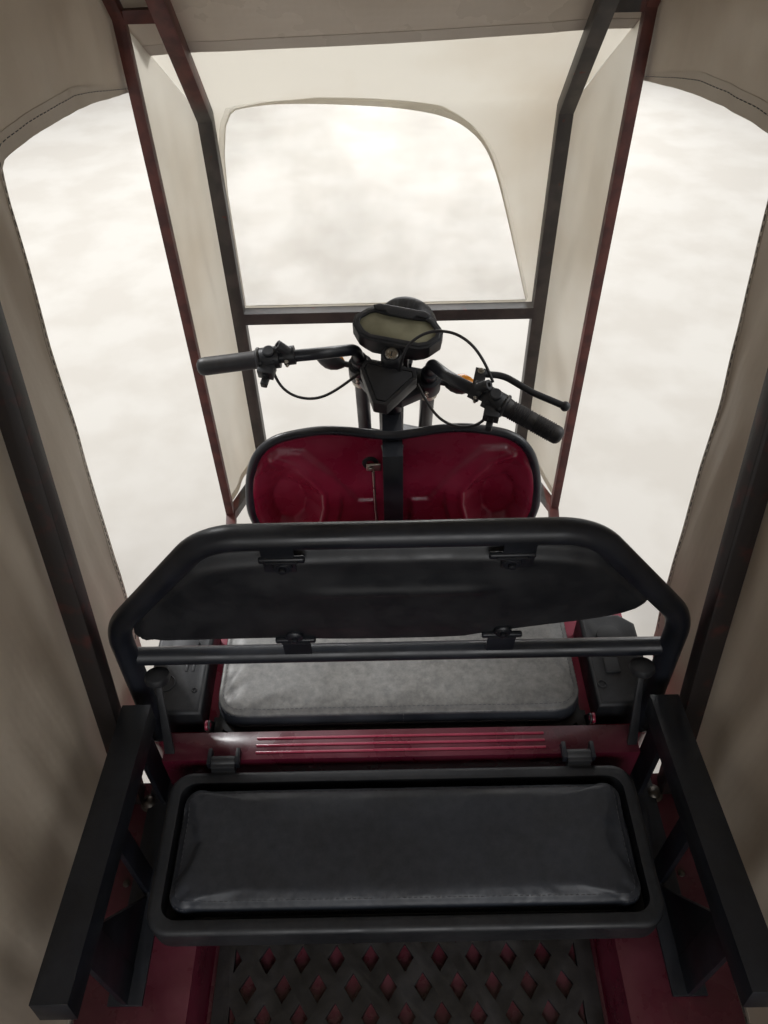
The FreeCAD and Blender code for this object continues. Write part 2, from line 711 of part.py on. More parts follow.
# Driver's backrest: bent tube, lower bar and moulded pad, drawn upright and then leaned
back_place = FreeCAD.Placement(V(0, back_foot_station, seat_box_top), FreeCAD.Rotation(V(1, 0, 0), back_lean))
back_run = [(-back_foot_x, -back_foot_set, 4), (-back_corner_x, 0, back_corner_height),
            (-back_top_x, 0, back_top_height), (back_top_x, 0, back_top_height),
            (back_corner_x, 0, back_corner_height), (back_foot_x, -back_foot_set, 4)]
back_tube = bent_bar(back_run, back_tube_radius, back_bend)
low_bar = cylinder((-back_corner_x + 6, -9, back_bar_height), (1, 0, 0), 14, 2 * back_corner_x - 12)
pad_thickness = 38
pad_back = -13
lugs = []
for x in (-148, 148):
    lugs.append(box(x - 20, x + 20, pad_back - 4, pad_back, back_top_height - 52, back_top_height))
    lugs.append(box(x - 20, x + 20, pad_back - 4, pad_back, back_bar_height, back_bar_height + 52))
back_solid = join([back_tube, low_bar] + lugs)
back_solid.Placement = back_place
foot_rear = seat_box_rear + 2
foot_front = back_foot_station - back_foot_set + 34
feet = []
for x in (-back_foot_x, back_foot_x):
    feet.append(box(x - 16, x + 16, foot_rear, foot_front, seat_box_top, seat_box_top + 6))
back_frame = join([back_solid] + feet).cut(box(-500, 500, 500, 900, seat_box_top - 60, seat_box_top))
nodes["backrest_frame"] = back_frame

pad_margin = 6
pad_side = back_corner_x - back_tube_radius - pad_margin
pad_low = back_bar_height + 14 + pad_margin
pad_high = back_top_height - back_tube_radius - pad_margin
pad_outline = [(-pad_side + 6, pad_low), (pad_side - 6, pad_low), (pad_side, pad_low + 40),
               (pad_side - 22, back_corner_height + 34), (back_top_x - 26, pad_high),
               (26 - back_top_x, pad_high), (22 - pad_side, back_corner_height + 34),
               (-pad_side, pad_low + 40)]
pad = prism_along_y(pad_outline, pad_back, pad_back + pad_thickness)
front_edges = [e for e in pad.Edges if e.BoundBox.YMin > pad_back + pad_thickness - 1]
pad = pad.makeFillet(10, front_edges)
raised = box(-190, 190, pad_back + pad_thickness - 5, pad_back + pad_thickness + 8,
             pad_low + 28, pad_high - 28)
raised = raised.makeFillet(6, [e for e in raised.Edges if e.BoundBox.YMin > pad_back + pad_thickness])
pad = join([pad, raised])
pad.Placement = back_place
nodes["backrest_pad"] = pad.cut(back_frame)

# Side consoles beside the seat, each with a cap
console_inner = 318
console_outer = 412
console_rear = 650
console_front = 830
console_top = 720
console_plan = [(console_inner, console_rear), (console_outer, console_rear),
                (console_outer, console_front - 20), (console_outer - 24, console_front),
                (console_inner, console_front)]
console = prism_along_z(console_plan, seat_box_top, console_top)
console = soften(console, 8, console_top - 1)
console = join([console, cylinder((console_inner + 40, 775, console_top - 1), (0, 0, 1), 21, 14)])
tube_room = bent_bar([(back_foot_x, -back_foot_set - 4, -16), (back_corner_x, 0, back_corner_height),
                      (back_top_x, 0, back_top_height)], back_tube_radius + 2, back_bend)
tube_room.Placement = back_place
foot_room = box(back_foot_x - 18, back_foot_x + 18, foot_rear - 4, foot_front + 2,
                seat_box_top - 1, seat_box_top + 8)
console = console.cut(tube_room).cut(foot_room)
largest = max(console.Solids, key=lambda s: s.Volume)
nodes["side_consoles"] = both_sides(largest)

# Leg shield: a bowed panel with two pockets, a slot for the neck's arm and a rubber edge
shield_half = [(0, shield_top - 14), (34, shield_top - 4), (150, shield_top + 2), (232, shield_top - 4),
               (282, shield_top - 44), (304, shield_top - 120), (298, shield_top - 200),
               (272, shield_top - 300), (226, shield_top - 400), (196, floor_top)]


def shield_outline(grow):
    outline = [(x, z) for x, z in shield_half] + [(-x, z) for x, z in shield_half[:0:-1]]
    points = [V(x, 0, z) for x, z in outline + outline[:1]]
    wire = Part.makePolygon(points)
    if grow:
        wire = wire.makeOffset2D(grow)
    return Part.Face(wire)


def bowed_slab(front, thickness):
    # A slab whose sides come back towards the rider
    wide = 340
    arcs = []
    for station in (front, front - thickness):
        arcs.append((V(-wide, station - shield_bow, 0), V(0, station, 0), V(wide, station - shield_bow, 0)))
    outer = Part.Arc(*arcs[0]).toShape()
    inner = Part.Arc(*arcs[1][::-1]).toShape()
    right = Part.LineSegment(arcs[0][2], arcs[1][2]).toShape()
    left = Part.LineSegment(arcs[1][0], arcs[0][0]).toShape()
    slab = Part.Face(Part.Wire([outer, right, inner, left])).extrude(V(0, 0, 700))
    slab.translate(V(0, 0, floor_top))
    return slab


def through_shield(face):
    body = face.extrude(V(0, 200, 0))
    body.translate(V(0, shield_station - 100, 0))
    return body


def below_top(points):
    # Places on the shield given as (x, drop below its top)
    return [(x, shield_top - drop) for x, drop in points]


pocket_mouth = below_top([(142, 310), (246, 323), (270, 244), (282, 146), (267, 78), (198, 120),
                          (144, 163), (128, 213)])
pocket_floor = below_top([(178, 266), (226, 272), (246, 226), (246, 166), (236, 132), (206, 156),
                          (180, 186), (172, 218)])
raised_field = below_top([(30, 182), (71, 182), (176, 44), (266, 44), (288, 112), (282, 200), (258, 296),
                          (214, 390), (30, 390)])
field_height = 4
pocket_depth = 48


def pocket_form(skin):
    wires = []
    for outline, station in ((pocket_mouth, shield_station - shield_thickness - shield_bow),
                             (pocket_floor, shield_station + pocket_depth - skin)):
        points = [V(x, station, z) for x, z in outline + outline[:1]]
        wire = Part.makePolygon(points)
        if skin:
            wire = wire.makeOffset2D(-skin)
        wires.append(wire)
    return Part.makeLoft(wires, True)


def flat_face(points):
    return Part.Face(Part.makePolygon([V(x, 0, z) for x, z in points + points[:1]]))


plate = bowed_slab(shield_station, shield_thickness).common(through_shield(shield_outline(0)))
field = bowed_slab(shield_station - shield_thickness + 1, field_height + 1)
field = field.common(through_shield(flat_face(raised_field)))
plate = plate.fuse([field, mirrored(field)])
pocket_outer = pocket_form(0)
pocket_inner = pocket_form(4)
behind = bowed_slab(shield_station - shield_thickness, 120)
for form in (pocket_outer, mirrored(pocket_outer)):
    plate = plate.fuse(form.cut(behind))
for form in (pocket_inner, mirrored(pocket_inner)):
    plate = plate.cut(form)
neck_gap = 0.5
arm_slot = box(-half_neck - neck_gap, half_neck + neck_gap, shield_station - 60, shield_station + 60,
               neck_arm_height - half_neck - neck_gap, neck_arm_height + half_neck + neck_gap)
shield = plate.removeSplitter().cut(arm_slot)
nodes["leg_shield"] = shield
trim_ring = shield_outline(4).cut(shield_outline(4 - trim_width))
trim = bowed_slab(shield_station + 4, shield_thickness + 8).common(through_shield(trim_ring))
below = box(-400, 400, 1000, 1400, 0, floor_top)
trim = trim.cut(below).cut(plate).cut(arm_slot).cut(pocket_outer).cut(mirrored(pocket_outer))
nodes["shield_trim"] = trim.cut(box(-half_neck - 1, half_neck + 1, 1100, neck_station + half_neck, 0, 900))

# Rear tub: one folded sheet from skirt to skirt, arches, bulkhead and end walls
half_panel = panel / 2
skirt_x = tub_half_width - half_panel
well_x = well_half_width - half_panel
ledge_mid = ledge_height - half_panel
floor_mid = tub_floor + half_panel
tub_path = [(-skirt_x, skirt_bottom), (-skirt_x, ledge_mid), (-well_x, ledge_mid), (-well_x, floor_mid),
            (well_x, floor_mid), (well_x, ledge_mid), (skirt_x, ledge_mid), (skirt_x, skirt_bottom)]
tub = prism_along_y(strip(tub_path, -half_panel, half_panel), tub_rear, tub_front)
wheel_arch = cylinder((-600, 0, wheel_radius), (1, 0, 0), arch_radius, 1200)
arch_room = wheel_arch.cut(box(-well_half_width - 20, well_half_width + 20, -400, 400, 0, 700))
tub = tub.cut(arch_room)
flange_mid = bulkhead_height - half_panel
wall_mid = flange_rear + half_panel
bulkhead_path = [(flange_front, flange_mid), (wall_mid, flange_mid), (wall_mid, tub_floor)]
bulkhead_half = 370
bulkhead = prism_along_x(strip(bulkhead_path, -half_panel, half_panel), -bulkhead_half, bulkhead_half)
front_wall = box(-tub_half_width, tub_half_width, tub_front - panel, tub_front, skirt_bottom, ledge_height)
front_wall = front_wall.cut(box(-rail_half_spread - 60, rail_half_spread + 60, 0, 700, 0, tub_floor))
end_wall = box(well_half_width, tub_half_width, tub_rear, tub_rear + panel, skirt_bottom, ledge_height)
end_walls = [mirrored(end_wall), end_wall]
tail_ears = []
tailgate_hinge_station = tub_rear - tailgate_thickness / 2 - 1
gate_barrels = (-240, 200)
gate_barrel_length = 40
ear_gap = 0.5
ear_plate = 6
for x in gate_barrels:
    for ear in (x - ear_gap - ear_plate, x + gate_barrel_length + ear_gap):
        tail_ears.append(box(ear, ear + ear_plate, tailgate_hinge_station - 8, tub_rear + 2,
                             tailgate_hinge_height - 8, tailgate_hinge_height + 6))
    tail_ears.append(cylinder((x - 7, tailgate_hinge_station, tailgate_hinge_height), (1, 0, 0),
                              hinge_pin_radius, gate_barrel_length + 14))
tub = join([tub, bulkhead, front_wall] + end_walls + tail_ears).cut(frame_solid)
nodes["rear_tub"] = tub

# Lattice mat on the tub's floor: crossed diagonal strips in a border
mat_inset = 8
mat_x = well_half_width - panel - mat_inset
mat_rear = tub_rear + 26
mat_front = flange_rear - 2 * mat_inset
mat_low = tub_floor + panel
diamond_width = 54
diamond_length = 80
lattice_width = 22
mat_border = 26
lattice_angle = math.degrees(math.atan2(diamond_length, diamond_width))
lattice_pitch = diamond_width * math.sin(math.radians(lattice_angle))
mat_mid = (mat_rear + mat_front) / 2
mat_block = box(-mat_x, mat_x, mat_rear, mat_front, mat_low, mat_low + mat_thickness)
mat_hole = box(-mat_x + mat_border, mat_x - mat_border, mat_rear + mat_border, mat_front - mat_border,
               mat_low - 1, mat_low + mat_thickness + 1)
reach = mat_x + mat_front - mat_rear
stripe_count = int(reach / 2 / lattice_pitch) + 1
diagonals = []
for sign in (-1, 1):
    for i in range(-stripe_count, stripe_count + 1):
        offset = i * lattice_pitch
        stripe = box(-reach, reach, offset - lattice_width / 2, offset + lattice_width / 2,
                     mat_low, mat_low + mat_thickness)
        stripe.rotate(V(0, 0, 0), V(0, 0, 1), sign * lattice_angle)
        stripe.translate(V(0, mat_mid, 0))
        stripe = stripe.common(mat_block)
        if stripe.Volume > 1:
            diagonals.append(stripe)
nodes["tub_mat"] = join([mat_block.cut(mat_hole)] + diagonals)

# Armrest rails with struts, foot plates and seat side plates
armrest = square_bar((armrest_x, *armrest_rear), (armrest_x, *armrest_front), rail_tube, rail_tube)
rail_slope = (armrest_front[1] - armrest_rear[1]) / (armrest_front[0] - armrest_rear[0])
strut_plates = [
    # station, width, thickness
    (300, 46, 8),
    (440, 34, 8),
    (585, 46, 8),
]
side_pieces = [armrest]
for station, width, thick in strut_plates:
    rail_mid = armrest_rear[1] + rail_slope * (station - armrest_rear[0])
    side_pieces.append(box(armrest_x - thick / 2, armrest_x + thick / 2, station - width / 2,
                           station + width / 2, ledge_height, rail_mid))
foot_plate = 5
side_pieces.append(box(armrest_x - 24, armrest_x + 24, 276, 612, ledge_height, ledge_height + foot_plate))
brace = prism_along_x([(300, ledge_height), (420, ledge_height), (318, 780), (300, 780)],
                      armrest_x - 3, armrest_x + 3)
side_pieces.append(brace)
rail_side = join(side_pieces)
nodes["armrest_rails"] = both_sides(rail_side).cut(tub)

bracket_inner = 322
bracket_outer = 346
bracket_rear = 358
bracket_front = 548
bracket_top = bench_bottom - hinge_clearance
upright = box(bracket_inner, bracket_inner + 6, bracket_rear, bracket_front, ledge_height, bracket_top)
upright = upright.cut(cylinder((bracket_inner - 5, (bracket_rear + bracket_front) / 2,
                                (ledge_height + bench_bottom) / 2), (1, 0, 0), 22, 20))
foot = box(bracket_inner, bracket_outer, bracket_rear, bracket_front, ledge_height, ledge_height + 5)
head = box(bracket_inner, bracket_outer, bracket_rear, bracket_front, bracket_top - 5, bracket_top)
bracket = join([upright, foot, head])
bench_barrels = (-290, 254)
bench_barrel_length = 36
hinge_sets = []
for x in bench_barrels:
    ears = []
    for ear in (x - ear_gap - ear_plate, x + bench_barrel_length + ear_gap):
        ears.append(box(ear, ear + ear_plate, bench_hinge_station - 8, flange_rear + 12, bulkhead_height,
                        bench_hinge_height + 8))
    ears.append(cylinder((x - 7, bench_hinge_station, bench_hinge_height), (1, 0, 0),
                         hinge_pin_radius, bench_barrel_length + 14))
    hinge_sets.append(join(ears))
nodes["bench_brackets"] = Part.makeCompound([bracket, mirrored(bracket)] + hinge_sets)

# Folding bench: a moulded tray with a thick rim, and its cushion
tray = rounded_plate(-bench_half_width, bench_half_width, bench_rear, bench_front - 6,
                     bench_bottom, bench_rim, 34)
tray = soften(tray, 8, bench_rim - 1)
recess = rounded_plate(-bench_half_width + bench_rim_width, bench_half_width - bench_rim_width,
                       bench_rear + bench_rim_width, bench_front - 6 - bench_rim_width,
                       bench_floor, bench_rim + 5, 22)
tray = tray.cut(recess)
for x in bench_barrels:
    barrel = cylinder((x, bench_hinge_station, bench_hinge_height), (1, 0, 0), hinge_barrel_radius,
                      bench_barrel_length)
    tongue = box(x, x + bench_barrel_length, bench_front - 12, bench_hinge_station, bench_rim - 12,
                 bench_hinge_height + 4)
    tongue = tongue.cut(box(x - 1, x + bench_barrel_length + 1, bench_rear, bench_front - 6,
                            bench_rim - 1, bench_crown))
    tray = join([tray, barrel, tongue])
for x in bench_barrels:
    tray = tray.cut(cylinder((x - 5, bench_hinge_station, bench_hinge_height), (1, 0, 0),
                             hinge_pin_radius + hinge_clearance, bench_barrel_length + 10))
nodes["bench_tray"] = tray
cushion_gap = 0.3
bench_cushion = rounded_plate(-bench_half_width + bench_rim_width + cushion_gap,
                              bench_half_width - bench_rim_width - cushion_gap,
                              bench_rear + bench_rim_width + cushion_gap,
                              bench_front - 6 - bench_rim_width - cushion_gap,
                              bench_floor, bench_crown, 22)
nodes["bench_cushion"] = soften(bench_cushion, 9, bench_crown - 1)

# Tailgate: a ribbed panel on two hinge barrels
gate_front = tub_rear - 1
gate_rear = gate_front - tailgate_thickness
gate = box(-tailgate_half_width, tailgate_half_width, gate_rear, gate_front, tailgate_bottom, tailgate_top)
gate_ribs = 4
rib_pitch = 2 * (tailgate_half_width - 30) / gate_ribs
for i in range(gate_ribs):
    x0 = -tailgate_half_width + 30 + i * rib_pitch + 8
    gate = gate.cut(box(x0, x0 + rib_pitch - 16, gate_rear - 1, gate_rear + 7, tailgate_bottom + 36,
                        tailgate_top - 30))
for x in gate_barrels:
    barrel = cylinder((x, tailgate_hinge_station, tailgate_hinge_height), (1, 0, 0), hinge_barrel_radius,
                      gate_barrel_length)
    web = box(x, x + gate_barrel_length, tailgate_hinge_station - 5, tailgate_hinge_station + 5,
              tailgate_hinge_height, tailgate_bottom + 2)
    gate = join([gate, barrel, web])
for x in gate_barrels:
    gate = gate.cut(cylinder((x - 5, tailgate_hinge_station, tailgate_hinge_height), (1, 0, 0),
                             hinge_pin_radius + hinge_clearance, gate_barrel_length + 20))
    for ear in (x - 8.5, x + gate_barrel_length):
        gate = gate.cut(box(ear, ear + 8.5, gate_rear - 5, gate_front + 5, tailgate_hinge_height - 10,
                            tailgate_hinge_height + 12))
nodes["tailgate"] = gate

# Rear bumper with its stays and a bare plate bracket, and the tail lamps
bumper = cylinder((-bumper_half_width, bumper_station, bumper_height), (1, 0, 0), bumper_radius,
                  2 * bumper_half_width)
cap_length = 14
caps = [revolved([(0, 0), (0, bumper_radius), (sign * cap_length, bumper_radius - 8), (sign * cap_length, 0)],
                 sign * bumper_half_width, bumper_station, bumper_height) for sign in (-1, 1)]
stay_outline = [(frame_rear, rear_low), (frame_rear + 70, rear_low), (bumper_station + 6, bumper_height - 12),
                (bumper_station - 6, bumper_height + 12)]
stays = [prism_along_x(stay_outline, x - 8, x + 8) for x in (-rail_half_spread, rail_half_spread)]
plate_half = 90
plate_front = bumper_station + bumper_radius - 2
bracket_plate = box(-plate_half, plate_half, plate_front - 4, plate_front, bumper_height - 120, bumper_height)
plate_hole_x = 60
plate_hole_z = 30
plate_hole_radius = 3.5
for x in (-plate_hole_x, plate_hole_x):
    for dz in (-plate_hole_z, plate_hole_z):
        bracket_plate = bracket_plate.cut(cylinder((x, bumper_station, bumper_height - 72 + dz), (0, 1, 0),
                                                   plate_hole_radius, 60))
nodes["rear_bumper"] = join([bumper, bracket_plate] + caps + stays).cut(frame_solid)

lamp_x = (well_half_width + tub_half_width) / 2
lamp_half = 42
lamp_low = 486
lamp_high = 556
lamp_depth = 32
tail_lamp = box(lamp_x - lamp_half, lamp_x + lamp_half, tub_rear - lamp_depth, tub_rear, lamp_low, lamp_high)
lamp_edges = [e for e in tail_lamp.Edges if e.BoundBox.YMax < tub_rear - lamp_depth + 1]
tail_lamp = tail_lamp.makeFillet(8, lamp_edges)
nodes["tail_lamps"] = both_sides(tail_lamp)

# Canopy front frame: base tubes, windscreen posts with a kink, cross bar, thin side posts
base_tube = 25
base_height = front_rail_height + 7
base_top = base_height + base_tube / 2
half_post = post_tube / 2
half_side = side_tube / 2
side_x = side_plane - half_side
slope_run = math.tan(math.radians(screen_slope))
screen_top_station = screen_post_station - (eave_height - kink_height) * slope_run
post_over = 60
post_path = [(screen_post_station, base_top), (screen_post_station, kink_height),
             (screen_top_station - post_over * slope_run, eave_height + post_over)]
screen_post = prism_along_x(strip(post_path, -half_post, half_post),
                            screen_post_x - half_post, screen_post_x + half_post)
side_kink = kink_height + (screen_post_station - side_post_station) / slope_run
side_path = [(side_post_station, base_top), (side_post_station, side_kink), (screen_top_station, eave_height)]
side_post = prism_along_x(strip(side_path, -half_side, half_side), side_x - half_side, side_plane)
side_post = side_post.cut(box(0, 600, 900, 1700, eave_height - half_side, eave_height + half_side))
link = box(screen_post_x, side_x, side_post_station - half_side, side_post_station + half_side,
           side_kink - half_side, side_kink + half_side)
base_runs = [
    (405, frame_front, side_x, side_post_station + half_side),
    (side_x, side_post_station, screen_post_x, screen_post_station + half_post),
]
base_pieces = [square_bar((x0, y0, base_height), (x1, y1, base_height), base_tube, base_tube)
               for x0, y0, x1, y1 in base_runs]
screen_side = join([screen_post, side_post, link] + base_pieces)
screen_bar = box(-screen_post_x, screen_post_x,
                 screen_post_station - half_post, screen_post_station + half_post,
                 screen_bar_height - half_post, screen_bar_height + half_post)

# Canopy roof frame: side rails, arched bows, raked middle posts and rear posts


def arch_face(half_width, low, rise, thickness, station):
    outer = Part.Arc(V(-half_width, station, low), V(0, station, low + rise),
                     V(half_width, station, low)).toShape()
    inner_half = half_width - thickness
    inner = Part.Arc(V(inner_half, station, low), V(0, station, low + rise - thickness),
                     V(-inner_half, station, low)).toShape()
    ends = [Part.LineSegment(V(half_width, station, low), V(inner_half, station, low)).toShape(),
            Part.LineSegment(V(-inner_half, station, low), V(-half_width, station, low)).toShape()]
    return Part.Face(Part.Wire([outer, ends[0], inner, ends[1]]))


front_offset = half_post + canvas_gap
beyond = 300
skin_path = [(screen_post_station, screen_bar_height - half_post), (screen_post_station, kink_height),
             (screen_top_station - beyond * slope_run, eave_height + beyond)]
in_front = prism_along_x(strip(skin_path, -front_offset - 900, -front_offset), -700, 700)
bow_slab = prism_along_x(strip(skin_path, -half_post, side_tube - half_post), -600, 600)
roof_rail = box(side_x - half_side, side_plane, roof_rear + 26, screen_post_station,
                eave_height - half_side, eave_height + half_side)
roof_rail = roof_rail.cut(prism_along_x(strip(skin_path, -900, side_tube - half_post), -600, 600))
bow_stations = (rear_post_station - half_side, 150, 700)


def bow(station, run):
    return arch_face(side_plane, eave_height, roof_rise + half_side, side_tube, station).extrude(V(0, run, 0))


bows = [bow(station, side_tube) for station in bow_stations]
bows.append(bow(screen_top_station - 300, 600).common(bow_slab))
b_top_station = b_post_station + (eave_height - ledge_height) * math.tan(math.radians(b_post_lean))
b_path = [(b_post_station, ledge_height - 8), (b_post_station, ledge_height + 10), (b_top_station, eave_height)]
b_post = prism_along_x(strip(b_path, -half_post, half_post), side_plane - post_tube, side_plane)
b_post = b_post.cut(box(0, 600, 0, 900, 0, ledge_height))
rear_post = box(side_plane - 25, side_plane, rear_post_station - 12, rear_post_station + 13,
                ledge_height, eave_height)
side_frame = join([roof_rail, b_post, rear_post])
side_frames = both_sides(side_frame)
nodes["canopy_side_frames"] = side_frames
nodes["roof_bows"] = Part.makeCompound([piece.cut(side_frames) for piece in bows])
front_frame = join([screen_side, mirrored(screen_side), screen_bar]).cut(frame_solid)
front_frame = front_frame.cut(bow(screen_top_station - 300, 600))
front_frame = max(front_frame.Solids, key=lambda s: s.Volume)
nodes["canopy_front_frame"] = front_frame

# Canopy skins: roof, sides, front with its clear window, quarter panels, rear valance
skin_in = side_plane + canvas_gap
skin_out = skin_in + canvas
skin_low = eave_height
roof_clear = 1
arch_low = eave_height + half_side + canvas_gap


def roof_region(half_width, low, apex, y0, y1):
    arc = Part.Arc(V(-half_width, y0, arch_low), V(0, y0, apex), V(half_width, y0, arch_low)).toShape()
    corners = [V(half_width, y0, arch_low), V(half_width, y0, low), V(-half_width, y0, low),
               V(-half_width, y0, arch_low)]
    edges = [Part.LineSegment(a, b).toShape() for a, b in zip(corners, corners[1:])]
    return Part.Face(Part.Wire([arc] + edges)).extrude(V(0, y1 - y0, 0))


apex_in = eave_height + roof_rise + half_side + roof_clear
skin_profile = strip(skin_path, -front_offset - canvas, -front_offset)
roof_shell = roof_region(skin_out, skin_low, apex_in + canvas, roof_rear, 1500)
roof_shell = roof_shell.cut(roof_region(skin_in, skin_low - 1, apex_in, roof_rear - 1, 1501))
roof_shell = roof_shell.cut(in_front)
nodes["canopy_roof"] = roof_shell

front_view = [(-screen_post_x - half_post, screen_bar_height - half_post),
              (screen_post_x + half_post, screen_bar_height - half_post),
              (screen_post_x + half_post, kink_height), (skin_out, side_kink),
              (skin_out, eave_height + beyond), (-skin_out, eave_height + beyond), (-skin_out, side_kink),
              (-screen_post_x - half_post, kink_height)]
front_skin = prism_along_x(skin_profile, -skin_out, skin_out).common(prism_along_y(front_view, 900, 1900))
front_skin = front_skin.common(roof_region(skin_out, 300, apex_in + canvas, 900, 1900))
window_half = screen_post_x - half_post - 2
window = [(-window_half, screen_bar_height + half_post + 4), (338, screen_bar_height + half_post + 4),
          (264, 1064), (226, 1167), (188, 1215), (130, 1250), (30, 1270), (-135, 1285), (-255, 1286),
          (-window_half, 1262)]
window_prism = prism_along_y(window, side_post_station - 112, screen_post_station + 200)
nodes["windscreen_cloth"] = front_skin.cut(window_prism)
nodes["windscreen_film"] = front_skin.common(window_prism)

door_top = [(970, 1470), (side_post_station + 15, 1367)]
door_rear = [(800, canvas_hem), (836, 805), (934, 1457)]
side_rear = roof_rear + 10
side_outline = [(side_rear, canvas_hem)] + door_rear + door_top
side_outline += [(side_post_station + 15, 1600), (screen_post_station, eave_height), (side_rear, eave_height)]
side_skin = prism_along_x(side_outline, skin_in, skin_out).cut(in_front)
side_skin = side_skin.cut(front_skin)
nodes["canopy_side_left"] = mirrored(side_skin)
nodes["canopy_side_right"] = side_skin

quarter_plan = strip([(side_plane + canvas_gap - 1, side_post_station + half_side + 1),
                      (screen_post_x + half_post + 1, screen_post_station + half_post)], -canvas, 0)
quarter = prism_along_z(quarter_plan, base_top + 4, eave_height)
quarter = quarter.cut(in_front).cut(front_frame).cut(side_skin)
quarter = max(quarter.Solids, key=lambda s: s.Volume)
nodes["quarter_panels"] = both_sides(quarter)

valance_low = 1640
valance_at = rear_post_station - half_side - canvas_gap - canvas
valance = roof_region(skin_in, valance_low, apex_in, valance_at - 3, valance_at)
nodes["rear_valance"] = valance

# Control cables, held between the hand controls and the stem
cable_radius = 3.2
cable_runs = [
    # left switch cable hangs below the bar, right one loops over the pod, brake cable behind the bar
    [(-205, -82, 847), (-201, -92, 816), (-170, -106, 790), (-124, -98, 778), (-86, -64, 778),
     (-57, -24, 782)],
    [(196, -50, 876), (170, -20, 906), (120, 10, 918), (66, 14, 904), (30, 2, 866), (22, -8, 826),
     (20, -14, 801)],
    [(205, -82, 847), (198, -96, 822), (168, -108, 800), (124, -100, 788), (86, -66, 782), (57, -24, 782)],
]
widest_bend = 500
cables = []
for run in cable_runs:
    edges, radii = rounded_run(run, widest_bend)
    cable = swept(edges, cable_radius)
    length = sum(edge.Length for edge in edges)
    plain = math.pi * cable_radius ** 2 * length
    print("cable", round(length), "mm long, bends", [round(r) for r in radii],
          "volume against section times length", round(cable.Volume / plain, 3))
    cables.append(cable)
nodes["control_cables"] = steered(Part.makeCompound(cables))

for name, shape in nodes.items():
    moved = shape.copy()
    moved.translate(V(0, -mid_station, 0))
    moved.exportStep("parts/" + name + ".step")
    bounds = moved.BoundBox
    print(name, len(moved.Solids), moved.isValid(), round(moved.Volume / 1000), "cm3",
          [round(v) for v in (bounds.XMin, bounds.XMax, bounds.YMin, bounds.YMax, bounds.ZMin, bounds.ZMax)])
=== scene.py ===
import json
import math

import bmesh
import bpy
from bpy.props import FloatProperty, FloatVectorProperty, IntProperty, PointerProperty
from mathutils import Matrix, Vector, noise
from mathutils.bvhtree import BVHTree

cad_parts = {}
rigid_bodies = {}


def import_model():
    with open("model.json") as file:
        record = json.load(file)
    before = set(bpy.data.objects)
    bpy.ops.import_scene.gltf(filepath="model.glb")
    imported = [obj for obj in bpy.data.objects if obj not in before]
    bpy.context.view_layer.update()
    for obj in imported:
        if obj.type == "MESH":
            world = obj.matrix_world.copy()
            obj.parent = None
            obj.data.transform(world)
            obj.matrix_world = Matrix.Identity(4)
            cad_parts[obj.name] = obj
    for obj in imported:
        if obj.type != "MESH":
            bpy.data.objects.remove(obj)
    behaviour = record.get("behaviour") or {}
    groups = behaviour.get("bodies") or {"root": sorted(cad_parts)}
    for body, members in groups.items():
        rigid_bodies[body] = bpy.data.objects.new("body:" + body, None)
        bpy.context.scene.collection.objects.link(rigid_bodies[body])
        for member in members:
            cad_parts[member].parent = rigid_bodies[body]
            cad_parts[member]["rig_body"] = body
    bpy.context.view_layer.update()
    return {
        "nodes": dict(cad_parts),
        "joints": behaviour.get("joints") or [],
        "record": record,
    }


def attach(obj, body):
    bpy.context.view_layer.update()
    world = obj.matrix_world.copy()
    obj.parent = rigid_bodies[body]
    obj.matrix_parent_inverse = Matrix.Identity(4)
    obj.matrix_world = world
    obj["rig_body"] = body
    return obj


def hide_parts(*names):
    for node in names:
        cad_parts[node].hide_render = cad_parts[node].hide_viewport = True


bl_info = {
    "name": "Electric auto rickshaw",
    "version": (1, 0, 0),
    "blender": (4, 5, 0),
    "location": "View3D > Sidebar > Rickshaw",
    "description": "Finishes, canvas, cushions and fittings for the packed three-wheeler",
    "category": "Object",
}

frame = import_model()

MM = 0.001
JOINTS = {joint["name"]: joint for joint in frame["joints"]}
SLOT_OF = {part["node"]: part["material_slot"] for part in frame["record"]["subparts"]}
BODY_OF = {name: node["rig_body"] for name, node in frame["nodes"].items()}
REAR_AXLE = JOINTS["rear_wheel_left_spin"]["pos_m"][1]


def at(x, station, z):
    """A place in metres from millimetres, with stations counted forward from the rear axle."""
    return Vector((x * MM, REAR_AXLE + station * MM, z * MM))


def mm(x, y, z):
    """A vector in metres from millimetres."""
    return Vector((x, y, z)) * MM


# Places that the canvas and the soft pieces share with the frame, in millimetres
LEDGE = 584
SIDE_PLANE = 455
EAVE, ROOF_APEX = 1800, 1891
ROOF_REAR, REAR_POST = -446, -408
BOW_STATIONS = (-408, 160, 710, 1240)
SCREEN_POST_X, SCREEN_STATION = 369, 1703
SIDE_POST_STATION = 1512
SCREEN_BAR, KINK = 801, 1265
SCREEN_SLOPE = math.tan(math.radians(40.5))
SKIN_MIDDLE = 18.5
HEM = 560
DOOR_REAR = ((800, 560), (836, 805), (934, 1457))
DOOR_TOP = ((970, 1470), (1250, 1430), (1527, 1367))
DOOR_HEM_FROM = 0.45     # the share of a side canvas's low edge after which the hem is the door's, and wider
WINDOW = ((-352, 820), (339, 820), (264, 1064), (226, 1167), (188, 1215), (130, 1250), (30, 1270), (-135, 1285),
          (-255, 1286), (-352, 1262))

# The steering axis: its rake, its foot and the upper bridge along it, and how far it is turned at rest
RAKE, REST_TURN = 22, 14
AXIS_FOOT_STATION, AXIS_FOOT_Z, UPPER_BRIDGE = 1542.2, 228.8, 690

